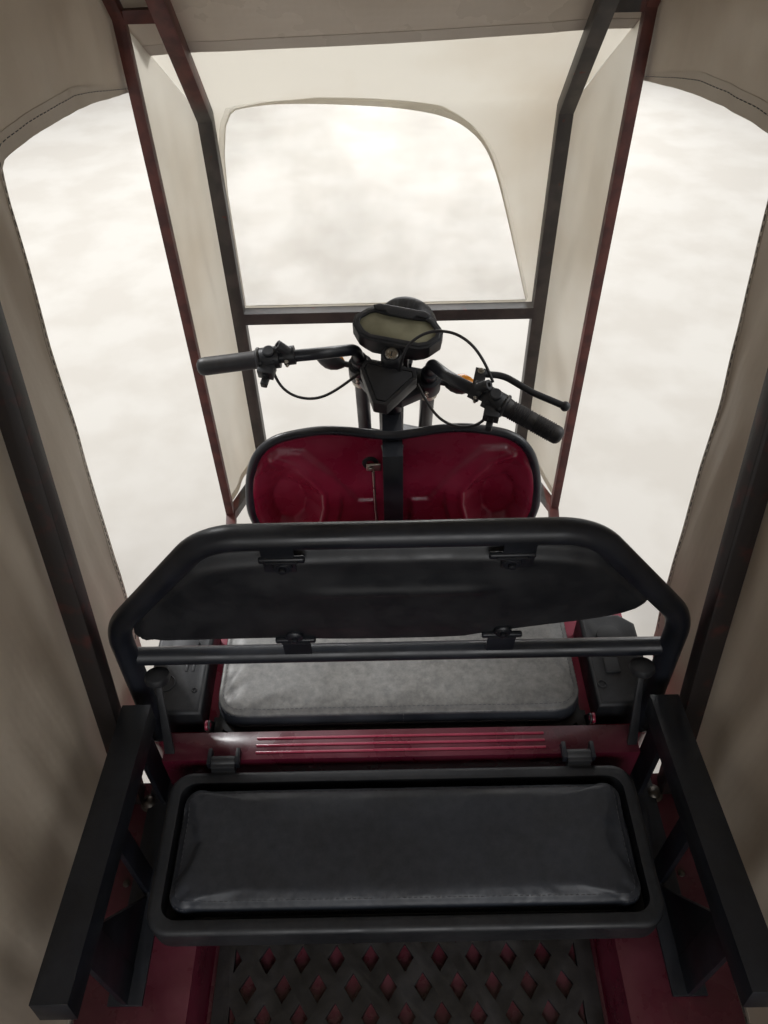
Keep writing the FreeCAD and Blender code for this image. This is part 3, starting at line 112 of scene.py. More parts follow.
# The leg shield, as places from its middle and drops below its top, which follows the arm through its slot
SHIELD_STATION, SHIELD_BOW, FLOOR_TOP = 1200, 34, 330
ARM_BELOW_BRIDGE, ARM_BELOW_TOP, ARM_SLOT_HALF = 69, 45, 21
SHIELD_TOP = AXIS_FOOT_Z + UPPER_BRIDGE * math.cos(math.radians(RAKE)) - ARM_BELOW_BRIDGE + ARM_BELOW_TOP
SHIELD_HALF = ((0, 16), (30, 11), (125, -9), (190, -4), (236, 6), (270, 36), (290, 86), (300, 152), (298, 204),
               (278, 262), (250, 330), (222, 410), (196, 500))
POCKET_MOUTH = ((252, 52), (200, 82), (170, 128), (149, 164), (150, 200), (160, 240), (178, 280), (206, 304),
                (240, 300), (266, 262), (282, 205), (283, 150), (272, 92))
POCKET_FLOOR = ((238, 150), (205, 166), (192, 200), (198, 236), (222, 258), (246, 250), (258, 216), (256, 172))
CREASE = ((30, 185), (73, 183), (120, 108), (178, 37), (232, 30), (290, 86), (310, 160), (300, 260), (230, 420),
          (30, 420))

# The steering's own frame: X across the bars, Z up the steering axis, wheel straight ahead
STEERING = (Matrix.Translation(at(0, AXIS_FOOT_STATION, AXIS_FOOT_Z))
            @ Matrix.Rotation(math.radians(RAKE), 4, "X") @ Matrix.Rotation(math.radians(-REST_TURN), 4, "Z"))

# The wheels, and where the camera stood and how it was turned, in degrees
WHEEL_RADIUS, REAR_WHEEL_X = 240, 385
CAMERA_X, CAMERA_STATION, CAMERA_Z = -12, 0, 1820
CAMERA_YAW, CAMERA_PITCH, CAMERA_ROLL = -0.40, 45.2, -1.5

# The pressure that fills the cushions' covers
COVER_PRESSURE = 4

# The driver's backrest leans back about its feet
BACK_LEAN = 6.7
BACK = Matrix.Translation(at(0, 702, 660)) @ Matrix.Rotation(math.radians(BACK_LEAN), 4, "X")


def hex_colour(text):
    """An sRGB hex colour as linear red, green, blue and alpha."""
    parts = [int(text[i:i + 2], 16) / 255 for i in (1, 3, 5)]
    return tuple(c / 12.92 if c <= 0.04045 else ((c + 0.055) / 1.055) ** 2.4 for c in parts) + (1.0,)


def colour(name, description, default):
    return FloatVectorProperty(name=name, description=description, size=4, subtype="COLOR",
                               min=0, max=1, default=hex_colour(default))


class RickshawFinishes(bpy.types.PropertyGroup):
    """Colours of the finishes."""

    # Lightened as painted light, so that the leg shield in the canopy's shade reads bright
    moulding: colour("Moulding", "Maroon gloss of the leg shield and the tub", "#8e1c3a")
    moulding_worn: colour("Worn moulding", "Maroon where dust and sun have paled it", "#a03450")
    canvas: colour("Canvas", "Cream coated canvas of the canopy", "#d2c8ba")
    canvas_stain: colour("Canvas stain", "Brownish stain in the folds of the canvas", "#b0a18f")
    # Its blue tint is painted sky reflection
    vinyl: colour("Seat vinyl", "Black leatherette of the cushions", "#1d2128")
    plastic: colour("Black plastic", "Moulded black covers", "#15171b")
    # Its blue tint is painted sky reflection
    paint: colour("Black paint", "Powder coat on tubes and rails", "#11141a")
    grey_paint: colour("Grey paint", "Worn dark grey paint of the windscreen frame", "#3a3735")
    primer: colour("Primer", "Red-brown primer of the thin posts", "#46201c")
    floor: colour("Floor", "Pale floor of the studio", "#c9c5be")


class RickshawSizes(bpy.types.PropertyGroup):
    """Sizes that a user would change."""

    canvas_thickness: FloatProperty(name="Canvas thickness", description="Thickness of the coated canvas",
                                    default=1.2 * MM, min=0.5 * MM, max=3 * MM, unit="LENGTH")
    fold_depth: FloatProperty(name="Fold depth", description="How far the canvas waves out of its plane",
                              default=9 * MM, min=0, max=15 * MM, unit="LENGTH")
    edge_round: FloatProperty(name="Edge round", description="Rounding of the rigid pieces' edges",
                              default=1.4 * MM, min=0.2 * MM, max=4 * MM, unit="LENGTH")
    cushion_swell: FloatProperty(name="Cushion swell", description="How far the padding pushes a cover out",
                                 default=9 * MM, min=0, max=25 * MM, unit="LENGTH")
    piping_radius: FloatProperty(name="Piping radius", description="Radius of the cushions' piped seams",
                                 default=1.9 * MM, min=1 * MM, max=5 * MM, unit="LENGTH")
    tread_depth: FloatProperty(name="Tread depth", description="Depth of the tyres' grooves",
                               default=4 * MM, min=1 * MM, max=8 * MM, unit="LENGTH")
    tread_blocks: IntProperty(name="Tread blocks", description="Tread blocks round each tyre",
                              default=44, min=20, max=80)
    camera_lens: FloatProperty(name="Lens", description="Focal length for a 36 mm long side",
                               default=27.35, min=10, max=200, unit="CAMERA")


def finishes():
    return bpy.context.scene.rickshaw_finishes


def sizes():
    return bpy.context.scene.rickshaw_sizes


# Selecting, shaping and finishing pieces

def deselect():
    if bpy.context.object and bpy.context.object.mode != "OBJECT":
        bpy.ops.object.mode_set(mode="OBJECT")
    bpy.ops.object.select_all(action="DESELECT")


def select_only(obj):
    deselect()
    obj.select_set(True)
    bpy.context.view_layer.objects.active = obj


def take_new(name):
    """Names the primitive that was just added and puts its place into its mesh."""
    obj = bpy.context.object
    obj.name = name
    obj.data.name = name
    bpy.ops.object.transform_apply(location=True, rotation=True, scale=True)
    return obj


def add_block(name, low, high):
    deselect()
    low, high = Vector(low), Vector(high)
    bpy.ops.mesh.primitive_cube_add(size=1, location=(low + high) / 2, scale=high - low)
    return take_new(name)


def add_outline(name, points):
    """One flat face from an outline, ready to be extruded."""
    mesh = bpy.data.meshes.new(name)
    mesh.from_pydata([tuple(p) for p in points], [], [tuple(range(len(points)))])
    obj = bpy.data.objects.new(name, mesh)
    bpy.context.scene.collection.objects.link(obj)
    return obj


def add_path(name, points):
    mesh = bpy.data.meshes.new(name)
    mesh.from_pydata([tuple(p) for p in points], [(i, i + 1) for i in range(len(points) - 1)], [])
    obj = bpy.data.objects.new(name, mesh)
    bpy.context.scene.collection.objects.link(obj)
    return obj


def edit(obj, pick="ALL"):
    select_only(obj)
    bpy.ops.object.mode_set(mode="EDIT")
    bpy.ops.mesh.select_all(action="SELECT" if pick == "ALL" else "DESELECT")


def pick_faces(obj, test):
    """Leaves edit mode, selects the faces whose centre and normal pass a test, and goes back in."""
    bpy.ops.object.mode_set(mode="OBJECT")
    for part in (obj.data.vertices, obj.data.edges, obj.data.polygons):
        part.foreach_set("select", [False] * len(part))
    for face in obj.data.polygons:
        face.select = test(face.center, face.normal)
    bpy.ops.object.mode_set(mode="EDIT")
    bpy.ops.mesh.select_mode(type="FACE")


def extrude(vector):
    bpy.ops.mesh.extrude_region_move(TRANSFORM_OT_translate={"value": tuple(vector)})


def done():
    bpy.ops.mesh.select_all(action="SELECT")
    bpy.ops.mesh.normals_make_consistent(inside=False)
    bpy.ops.object.mode_set(mode="OBJECT")


def turned(name, profile, start, along, steps=48):
    """A lathe-turned piece: the profile gives distance along the axis and radius, in millimetres."""
    side = Vector((0, 0, 1)) if abs(Vector(along).normalized().z) < 0.9 else Vector((1, 0, 0))
    axis = Vector(along).normalized()
    side = (side - axis * side.dot(axis)).normalized()
    start = Vector(start)
    obj = add_path(name, [start + axis * (d * MM) + side * (r * MM) for d, r in profile])
    edit(obj)
    bpy.ops.mesh.spin(steps=steps, angle=2 * math.pi, center=start, axis=axis)
    bpy.ops.mesh.select_all(action="SELECT")
    bpy.ops.mesh.remove_doubles(threshold=0.01 * MM)
    done()
    return obj


def add_modifier(obj, kind, **settings):
    """Adds one modifier with its settings and applies it."""
    select_only(obj)
    modifier = obj.modifiers.new(kind.title(), kind)
    for key, value in settings.items():
        setattr(modifier, key, value)
    bpy.ops.object.modifier_apply(modifier=modifier.name)


def round_edges(obj, width, segments=2, angle=32):
    add_modifier(obj, "BEVEL", width=width, segments=segments, limit_method="ANGLE",
                 angle_limit=math.radians(angle), use_clamp_overlap=True)


def rounded_block(name, low, high, width, segments=2, angle=32):
    block = add_block(name, low, high)
    round_edges(block, width, segments, angle)
    return block


def slab(name, points, height):
    """An outline drawn out along a vector, given like its points."""
    obj = add_outline(name, points)
    edit(obj)
    extrude(height)
    done()
    return obj


def smooth(obj, angle=35):
    select_only(obj)
    bpy.ops.object.shade_smooth_by_angle(angle=math.radians(angle))


def placed(obj, matrix):
    """Moves the finished mesh, and leaves the object at the origin."""
    obj.data.transform(matrix)
    obj.data.update()
    return obj


def joined(name, parts):
    deselect()
    for part in parts:
        part.select_set(True)
    bpy.context.view_layer.objects.active = parts[0]
    bpy.ops.object.join()
    parts[0].name = name
    return parts[0]


def fit(obj, finish, body, replaces=(), angle=35):
    """The last steps of each piece: shading, finish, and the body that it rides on."""
    smooth(obj, angle)
    obj.data.materials.clear()
    obj.data.materials.append(FINISH[finish])
    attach(obj, body)
    if replaces:
        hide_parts(*replaces)
    return obj


def softened(node, finish):
    """A merged copy of a rigid CAD node with its edges rounded, which stands for the node."""
    obj = bpy.data.objects.new(node + "_body", frame["nodes"][node].data.copy())
    bpy.context.scene.collection.objects.link(obj)
    edit(obj)
    bpy.ops.mesh.remove_doubles(threshold=0.01 * MM)
    bpy.ops.mesh.dissolve_limited(angle_limit=math.radians(1))
    bpy.ops.object.mode_set(mode="OBJECT")
    round_edges(obj, sizes().edge_round)
    return fit(obj, finish, BODY_OF[node], (node,))


# Finishes

def add_node(material, kind, settings=None, links=None):
    """Adds one node, sets its properties and unlinked inputs, and joins inputs to other sockets."""
    node = material.node_tree.nodes.new(kind)
    for key, value in (settings or {}).items():
        if isinstance(key, int) or key in node.inputs:
            node.inputs[key].default_value = value
        else:
            setattr(node, key, value)
    for key, socket in (links or {}).items():
        material.node_tree.links.new(socket, node.inputs[key])
    return node


def grey(value):
    return (value, value, value, 1)


class Finish:
    """A material in the making: its shader, and the Object coordinates that its patterns read."""

    def __init__(self, name, base, roughness, **sockets):
        self.material = bpy.data.materials.new(name)
        self.material.use_nodes = True
        self.material.node_tree.nodes.clear()
        self.shader = self.add("ShaderNodeBsdfPrincipled", {"Base Color": base, "Roughness": roughness})
        for key, value in sockets.items():
            self.shader.inputs[key.replace("_", " ")].default_value = value
        self.place = self.add("ShaderNodeTexCoord").outputs["Object"]
        self.output = self.add("ShaderNodeOutputMaterial", links={"Surface": self.shader.outputs[0]})

    def add(self, kind, settings=None, links=None):
        return add_node(self.material, kind, settings, links)

    def feed(self, socket, target="Base Color"):
        self.material.node_tree.links.new(socket, self.shader.inputs[target])

    def noise(self, size, detail, **settings):
        """Cloudy noise, whose size is in millimetres."""
        return self.add("ShaderNodeTexNoise", {"Scale": 1 / (size * MM), "Detail": detail, **settings},
                        {"Vector": self.place}).outputs[0]

    def cells(self, size, **settings):
        """Cells like a pebble grain, whose size is in millimetres."""
        return self.add("ShaderNodeTexVoronoi", {"Scale": 1 / (size * MM), **settings},
                        {"Vector": self.place}).outputs[0]

    def ridges(self, size, place=None, distortion=0.0):
        """Even ridges, whose spacing is in millimetres."""
        return self.add("ShaderNodeTexWave", {"Scale": 1 / (size * MM) / 10, "Distortion": distortion},
                        {"Vector": place or self.place}).outputs[1]

    def maths(self, operation, *values):
        return self.add("ShaderNodeMath", {"operation": operation}, dict(enumerate(values))).outputs[0]

    def mix(self, share, first, second):
        return self.add("ShaderNodeMix", {"data_type": "RGBA"}, {0: share, 6: first, 7: second}).outputs[2]

    def mottled(self, first, second, grain, low=0.4, high=0.6, detail=4.0):
        """Two colours that change over in soft patches; grain is the patch size in millimetres."""
        ramp = self.add("ShaderNodeValToRGB", links={"Fac": self.noise(grain, detail)})
        for stop, position, tone in zip(ramp.color_ramp.elements, (low, high), (first, second)):
            stop.position, stop.color = position, tone
        return ramp.outputs[0]

    def rough_patches(self, low, high, grain):
        """Roughness that changes over in patches, as where a surface is rubbed or dusty."""
        self.feed(self.mottled(grey(low), grey(high), grain, 0.35, 0.65, 5.0), "Roughness")

    def relief(self, height, depth, strength=1.0, under=None):
        """Bump from a height pattern, whose full depth is in millimetres."""
        links = {"Height": height, "Normal": under} if under else {"Height": height}
        bump = self.add("ShaderNodeBump", {"Strength": strength, "Distance": depth * MM}, links).outputs[0]
        self.feed(bump, "Normal")
        return bump

    def dusted(self, base, dust, amount):
        """Lays pale dust over a colour, thickest on faces that look up."""
        facing = self.add("ShaderNodeTexCoord").outputs["Normal"]
        upward = self.add("ShaderNodeSeparateXYZ", links={0: facing}).outputs["Z"]
        lifted = self.add("ShaderNodeMapRange", {1: 0.2, 2: 1.0, 3: 0.0, 4: amount}, {0: upward}).outputs[0]
        thick = self.maths("MULTIPLY", lifted, self.noise(14, 8.0, Roughness=0.75))
        tint = self.add("ShaderNodeMix", {"data_type": "RGBA", 7: hex_colour(dust)}, {0: thick, 6: base})
        self.feed(tint.outputs[2])


def maroon_abs(name, fresh, worn, dust):
    """Gloss-moulded ABS: sharp reflections, softened by dust and fine wear."""
    made = Finish(name, fresh, 0.25, IOR=1.53, Coat_Weight=0.35, Coat_Roughness=0.12)
    made.dusted(made.mottled(fresh, worn, 120, 0.42, 0.72), "#a98f8c", dust)
    made.rough_patches(0.2, 0.46, 60)
    made.relief(made.noise(45, 1.0), 0.6, 0.5)
    return made.material


def black_moulded_plastic():
    """Polypropylene from an etched mould: a satin grain of about 0.8 mm, drawn at 1.2 mm to show."""
    made = Finish("black_moulded_polypropylene", finishes().plastic, 0.5, IOR=1.49)
    made.dusted(made.mottled(finishes().plastic, hex_colour("#232427"), 90), "#6d7075", 0.28)
    made.rough_patches(0.38, 0.6, 40)
    made.relief(made.cells(1.2), 0.15, 0.35)
    return made.material


def black_powder_coat():
    """Powder coat on tube: slight orange peel of 3 mm and rubbed, glossier patches."""
    # The blue tint of the paint, of its patches and of its dust is painted sky reflection
    made = Finish("black_powder_coat", finishes().paint, 0.4)
    made.dusted(made.mottled(finishes().paint, hex_colour("#1c1f27"), 70), "#63676d", 0.22)
    made.rough_patches(0.28, 0.5, 80)
    made.relief(made.noise(3, 2.0), 0.12, 0.4)
    return made.material


def worn_grey_enamel():
    """Brushed-on grey enamel; the outer posts, the upper left post and the chips show red-brown primer."""
    made = Finish("worn_grey_enamel", finishes().grey_paint, 0.5)
    enamel = made.mottled(finishes().grey_paint, hex_colour("#4a4541"), 50)
    bare = made.mottled(finishes().primer, hex_colour("#5f2f28"), 40)
    parts = made.add("ShaderNodeSeparateXYZ", links={0: made.place}).outputs

    def change_over(value, low, high):
        """A factor that runs from 0 to 1 between two values of a coordinate, in millimetres."""
        return made.add("ShaderNodeMapRange", {1: low * MM, 2: high * MM}, {0: value}).outputs[0]

    outer_posts = change_over(made.maths("ABSOLUTE", parts["X"]), 424, 428)
    upper_left = made.maths("MULTIPLY", change_over(parts["X"], -300, -310),
                            change_over(parts["Z"], KINK + 15, KINK + 60))
    chips = made.mottled(grey(0), grey(1), 22, 0.68, 0.74, 6.0)
    cover = made.maths("MAXIMUM", made.maths("MAXIMUM", outer_posts, upper_left), chips)
    made.feed(made.mix(cover, enamel, bare))
    made.relief(made.noise(5, 6.0), 0.3, 0.5)
    return made.material


def red_oxide_primer():
    """Black-brown paint over red oxide primer, which shows through in freckles of about 15 mm."""
    paint = hex_colour("#211b1a")
    made = Finish("painted_red_oxide", paint, 0.5)
    made.feed(made.mottled(paint, finishes().primer, 30, 0.56, 0.74, 6.0))
    made.relief(made.noise(4, 6.0), 0.3, 0.6)
    return made.material


def coated_canvas(name, cream, stain, through, gloss=0.5):
    """PVC-coated polyester: a scrim grid pressed through the coat, a dull sheen, and some light through."""
    made = Finish(name, cream, gloss, IOR=1.5)
    shade = made.mottled(cream, stain, 420, 0.42, 0.86, 6.0)
    made.feed(shade)
    made.rough_patches(gloss - 0.08, gloss + 0.12, 150)
    threads = []
    for turn in ((0, 0, 0), (0, 0, math.pi / 2), (0, math.pi / 2, 0)):
        turned_place = made.add("ShaderNodeMapping", {"Rotation": turn}, {"Vector": made.place}).outputs[0]
        # The scrim's threads are 1.5 mm apart; they are drawn 4 mm apart to show
        threads.append(made.ridges(4, turned_place, 0.4))
    weave = made.maths("ADD", made.maths("ADD", threads[0], threads[1]), threads[2])
    fine = made.relief(weave, 0.12, 0.35)
    made.relief(made.noise(70, 3.0), 5.0, 0.5, fine)
    lit_through = made.add("ShaderNodeBsdfTranslucent", links={"Color": shade})
    mix = made.add("ShaderNodeMixShader", {0: through}, {1: made.shader.outputs[0], 2: lit_through.outputs[0]})
    made.material.node_tree.links.new(mix.outputs[0], made.output.inputs["Surface"])
    return made.material


def clear_film():
    """Clear soft PVC film: nearly invisible face on, with hazy smears and broad soft reflections."""
    made = Finish("clear_pvc_film", hex_colour("#eceade"), 0.12, IOR=1.5)
    made.feed(made.mottled(grey(0.05), grey(0.2), 180, 0.4, 0.75, 5.0), "Alpha")
    made.relief(made.noise(90, 2.0), 4.0, 0.5)
    return made.material


def black_leatherette(name, worn, dust, amount):
    """Black vinyl leatherette: a pebble grain near 1 mm, drawn at 2 mm, with scuffs and dust."""
    # The blue tint of the vinyl and of its worn patches is painted sky reflection
    made = Finish(name, finishes().vinyl, 0.5, IOR=1.5)
    made.dusted(made.mottled(finishes().vinyl, hex_colour(worn), 110, 0.4, 0.65), dust, amount)
    made.rough_patches(0.4, 0.6, 90)
    fine = made.relief(made.cells(2, feature="DISTANCE_TO_EDGE"), 0.25, 0.3)
    made.relief(made.noise(26, 5.0), 1.2, 0.4, fine)
    return made.material


def plain_rubber(name, tint, roughness, grain):
    """Moulded rubber: matt, with a bloom that greys it in patches."""
    made = Finish(name, hex_colour(tint), roughness)
    made.dusted(made.mottled(hex_colour(tint), hex_colour("#34343a"), grain, 0.45, 0.8), "#7a746b", 0.35)
    made.rough_patches(roughness - 0.12, roughness + 0.1, grain)
    made.relief(made.noise(2.5, 3.0), 0.2, 0.4)
    return made.material


def metal(name, tint, roughness, grain):
    """Bare metal: bright, with dulled patches and a fine cast or rolled surface."""
    made = Finish(name, hex_colour(tint), roughness, Metallic=1.0)
    made.rough_patches(roughness - 0.1, roughness + 0.2, grain * 8)
    made.relief(made.noise(grain, 4.0), 0.15, 0.35)
    return made.material


def lens(name, tint, through):
    """Moulded acrylic lens: clear colour with some light through it and a crisp shine."""
    made = Finish(name, hex_colour(tint), 0.14, IOR=1.49, Transmission_Weight=through)
    made.relief(made.ridges(6), 0.4, 0.4)
    return made.material


def display_glass():
    """Unlit liquid-crystal panel behind clear acrylic: flat olive grey under a sharp shine."""
    made = Finish("unlit_display", hex_colour("#8e8d76"), 0.3, Coat_Weight=0.8, Coat_Roughness=0.06)
    made.feed(made.mottled(hex_colour("#84836c"), hex_colour("#9a9880"), 60))
    return made.material


def sewing_thread():
    """Grey polyester thread, twisted at about 1 mm."""
    made = Finish("grey_sewing_thread", hex_colour("#55565a"), 0.7)
    made.relief(made.ridges(1), 0.3, 0.6)
    return made.material


def make_finishes():
    return {
        # The maroon is the moulding lightened as painted light; the darker maroon is the same moulding darkened
        # as painted shade, for the tub and the tailgate
        "maroon": maroon_abs("maroon_gloss_abs", finishes().moulding, finishes().moulding_worn, 0.16),
        "maroon_painted_shade": maroon_abs("painted_shade_maroon_abs", hex_colour("#4b1022"), hex_colour("#641f33"), 0.1),
        "plastic": black_moulded_plastic(),
        "paint": black_powder_coat(),
        "grey_paint": worn_grey_enamel(),
        "primer": red_oxide_primer(),
        "canvas": coated_canvas("cream_pvc_canvas", finishes().canvas, finishes().canvas_stain, 0.2),
        # The cream canvas paled as painted light for the sunlit front and corner canvases; it also lets more
        # light through
        "canvas_painted_light": coated_canvas("painted_light_cream_pvc_canvas", hex_colour("#e8e5de"), hex_colour("#d3cabc"),
                                     0.72),
        # The cream canvas darkened as painted shade, for the doubled flap at the front
        "canvas_shade": coated_canvas("doubled_pvc_canvas_painted_shade", hex_colour("#c9bfb3"), hex_colour("#a99f93"),
                                      0.25, 0.3),
        "film": clear_film(),
        # The bench's vinyl: its scuffs and dust are tinted blue as painted sky reflection
        "vinyl": black_leatherette("black_leatherette", "#2a2f38", "#7f8085", 0.3),
        # The driver's cushion: its pale dust is real dust, made thicker and paler as a painted sunlit patch and
        # sheen on the top
        "vinyl_dust_and_light": black_leatherette("dust_and_painted_light_leatherette", "#3a3e45", "#b9b7b2", 0.85),
        "rubber": plain_rubber("moulded_black_rubber", "#15161a", 0.55, 40),
        "tyre": plain_rubber("tyre_tread_rubber", "#1a1a1b", 0.75, 60),
        "matting": plain_rubber("ribbed_floor_matting", "#26272b", 0.7, 50),
        "steel": metal("zinc_plated_steel", "#b9b5aa", 0.32, 3),
        "alloy": metal("cast_aluminium", "#8d8f92", 0.42, 2),
        "case": plain_rubber("battery_case_polypropylene", "#3a3d42", 0.5, 80),
        "clear_lens": lens("clear_acrylic_lens", "#eef0ee", 0.85),
        "amber_lens": lens("amber_acrylic_lens", "#e08a10", 0.25),
        "red_lens": lens("red_acrylic_lens", "#9c1017", 0.25),
        "display": display_glass(),
        "thread": sewing_thread(),
        "rubber_gloss": plain_rubber("extruded_edge_rubber", "#1d222b", 0.36, 70),
        "steel_dull": metal("dulled_zinc_steel", "#6f6a64", 0.5, 3),
    }


FINISH = {}
NODE_FINISH = {
    "maroon_moulding": "maroon", "black_plastic": "plastic", "black_paint": "paint", "grey_paint": "grey_paint",
    "primer_paint": "primer", "canvas": "canvas", "clear_film": "film", "seat_vinyl": "vinyl",
    "rubber": "rubber", "tyre_rubber": "tyre", "bare_steel": "steel", "cast_alloy": "alloy",
    "battery_case": "case", "clear_lens": "clear_lens", "amber_lens": "amber_lens", "red_lens": "red_lens",
    "screen_glass": "display",
}


class RICKSHAW_OT_stage(bpy.types.Operator):
    """Adds the pale floor, the soft lamps and the camera at the photograph's angle"""

    bl_idname = "rickshaw.stage"
    bl_label = "Stage, lamps and camera"

    def execute(self, context):
        scene = context.scene
        scene.view_settings.view_transform = "Standard"
        deselect()
        bpy.ops.mesh.primitive_plane_add(size=40, location=(0, 0, 0))
        floor = take_new("studio_floor")
        ground = Finish("pale_floor", finishes().floor, 0.9)
        ground.feed(ground.mottled(finishes().floor, hex_colour("#c1bcb4"), 300))
        floor.data.materials.append(ground.material)
        world = bpy.data.worlds.new("studio_light")
        world.use_nodes = True
        sky = world.node_tree.nodes["Background"].inputs
        sky["Color"].default_value, sky["Strength"].default_value = grey(1), 0.42
        scene.world = world
        lamps = [
            # name, place, size and power of each soft lamp
            ("key_lamp", (-3.4, 3.6, 4.6), 1.1, 262),
            ("fill_lamp", (3.8, 1.0, 3.4), 3.0, 90),
            ("front_lamp", (0.6, 5.4, 2.2), 2.6, 132),
            ("rear_lamp", (0.3, -4.2, 2.4), 2.4, 70),
        ]
        for name, place, size, power in lamps:
            lamp = bpy.data.objects.new(name, bpy.data.lights.new(name, "AREA"))
            scene.collection.objects.link(lamp)
            lamp.data.size = size
            lamp.data.energy = power
            lamp.location = place
            lamp.rotation_mode = "QUATERNION"
            lamp.rotation_quaternion = (Vector((0, 0, 0.7)) - Vector(place)).to_track_quat("-Z", "Y")
        # The camera stands over the rear axle and looks forward and down
        yaw, pitch, roll = (math.radians(a) for a in (CAMERA_YAW, CAMERA_PITCH, CAMERA_ROLL))
        ahead = Vector((math.sin(yaw) * math.cos(pitch), math.cos(yaw) * math.cos(pitch), -math.sin(pitch)))
        level = Vector((math.cos(yaw), -math.sin(yaw), 0))
        upright = level.cross(ahead)
        right = level * math.cos(roll) + upright * math.sin(roll)
        up = upright * math.cos(roll) - level * math.sin(roll)
        camera = bpy.data.objects.new("photo_camera", bpy.data.cameras.new("photo_camera"))
        scene.collection.objects.link(camera)
        camera.data.lens = sizes().camera_lens
        camera.data.sensor_width = 36
        camera.data.clip_start = 0.02
        turn = Matrix((right, up, -ahead)).transposed().to_4x4()
        camera.matrix_world = Matrix.Translation(at(CAMERA_X, CAMERA_STATION, CAMERA_Z)) @ turn
        scene.camera = camera
        return {"FINISHED"}


class RICKSHAW_OT_rigid_pieces(bpy.types.Operator):
    """Rounds the edges of the frame, the tub and the other rigid pieces, and gives them their finishes"""

    bl_idname = "rickshaw.rigid_pieces"
    bl_label = "Rigid pieces"

    def execute(self, context):
        nodes = [
            "chassis_frame", "leaf_springs", "rear_axle", "drive_motor", "floorboard", "battery_block",
            "seat_box", "backrest_frame", "side_consoles", "rear_tub", "tub_mat", "armrest_rails",
            "bench_brackets", "rear_bumper", "canopy_front_frame", "canopy_side_frames", "roof_bows",
            "seat_pan", "bench_tray", "tailgate", "fork", "front_mudguard", "handlebar", "rear_rim_left",
            "rear_rim_right", "front_rim", "headlamp", "hand_controls", "tail_lamps", "headlamp_lens",
        ]
        for node in nodes:
            # The tub and the tailgate take the maroon darkened as painted shade
            softened(node, "maroon_painted_shade" if node in ("rear_tub", "tailgate") else NODE_FINISH[SLOT_OF[node]])
        return {"FINISHED"}


def fold(point, run, across, seed):
    """A height from about -1 to 1 that makes long soft folds: run is a fold's length, across its width."""
    place = Vector((point[0] / run, point[1] / across, seed * 7.3))
    return noise.noise(place) + 0.5 * noise.noise(place * 2.3)


def step(value, low, high):
    """A smooth change from 0 to 1 between two values."""
    share = min(1.0, max(0.0, (value - low) / (high - low)))
    return share * share * (3 - 2 * share)


def along(path, share):
    """The point at a share of a path's length."""
    lengths = [(b - a).length for a, b in zip(path, path[1:])]
    target = share * sum(lengths)
    for a, b, length in zip(path, path[1:], lengths):
        if target <= length:
            return a.lerp(b, target / length)
        target -= length
    return path[-1].copy()


def softened_path(points, rounds=3):
    """Cuts a path's corners again and again, so that it runs as a smooth line; its ends stay."""
    points = [Vector(p) for p in points]
    for _ in range(rounds):
        cut = [points[0]]
        for a, b in zip(points, points[1:]):
            cut += [a.lerp(b, 0.25), a.lerp(b, 0.75)]
        points = cut + [points[-1]]
    return points


def cloth_sheet(name, columns, rows, place, thickness, closed=False):
    """A grid whose points are set by place(u, v), made as thick as the cloth; returns its area as well."""
    deselect()
    bpy.ops.mesh.primitive_grid_add(x_subdivisions=columns, y_subdivisions=rows, size=1)
    obj = take_new(name)
    for vertex in obj.data.vertices:
        vertex.co = place(vertex.co.x + 0.5, vertex.co.y + 0.5)
    edit(obj)
    if closed:
        bpy.ops.mesh.remove_doubles(threshold=0.01 * MM)
    done()
    area = sum(face.area for face in obj.data.polygons)
    add_modifier(obj, "SOLIDIFY", thickness=thickness, offset=0)
    return obj, area


def hem_of(name, columns, place, width, layers=2.4):
    """A narrow doubled sheet along the low edge of a canvas whose surface is place(u, v)."""
    thickness = sizes().canvas_thickness * layers
    return cloth_sheet(name, columns, 1, lambda u, v: place(u, v * width), thickness)[0]


def stitched(name, places, pitch=11, length=7, radius=0.7):
    """A row of stitches along the places that it is given: one stitch, copied."""
    deselect()
    bpy.ops.mesh.primitive_cylinder_add(vertices=6, radius=radius * MM, depth=length * MM)
    one = take_new(name + "_stitch")
    edit(one)
    bpy.ops.mesh.bevel(offset=0.3 * MM, segments=1)
    bpy.ops.object.mode_set(mode="OBJECT")
    row = bmesh.new()
    for path in places:
        total = sum((b - a).length for a, b in zip(path, path[1:]))
        count = max(2, int(total / (pitch * MM)))
        for i in range(count):
            here = along(path, (i + 0.5) / count)
            ahead = along(path, min(1, (i + 0.6) / count)) - along(path, max(0, (i + 0.4) / count))
            turn = ahead.to_track_quat("Z", "Y").to_matrix().to_4x4()
            stitch = one.data.copy()
            stitch.transform(Matrix.Translation(here) @ turn)
            row.from_mesh(stitch)
            bpy.data.meshes.remove(stitch)
    mesh = bpy.data.meshes.new(name)
    row.to_mesh(mesh)
    row.free()
    bpy.data.objects.remove(one)
    obj = bpy.data.objects.new(name, mesh)
    bpy.context.scene.collection.objects.link(obj)
    return obj


def shifted(path, across):
    """A path moved sideways by some millimetres."""
    return [p + Vector((across * MM, 0, 0)) for p in path]


def reach(outline, centre, angle):
    """How far a ray from the centre runs before it meets a closed outline."""
    ray = Vector((math.cos(angle), math.sin(angle)))
    for a, b in zip(outline, outline[1:] + outline[:1]):
        a, side = Vector(a) - centre, Vector(b) - Vector(a)
        across = ray.x * side.y - ray.y * side.x
        if abs(across) > 1e-9:
            far = (a.x * side.y - a.y * side.x) / across
            share = (a.x * ray.y - a.y * ray.x) / across
            if far > 0 and -1e-6 <= share <= 1 + 1e-6:
                return far
    raise ValueError("the outline doesn't go round its centre")


def roof_height(x, lift=0):
    """The roof's arch over a place across the vehicle, in millimetres."""
    return EAVE + 12 + lift + (ROOF_APEX - EAVE - 10) * (1 - (x / (SIDE_PLANE + 4)) ** 2)


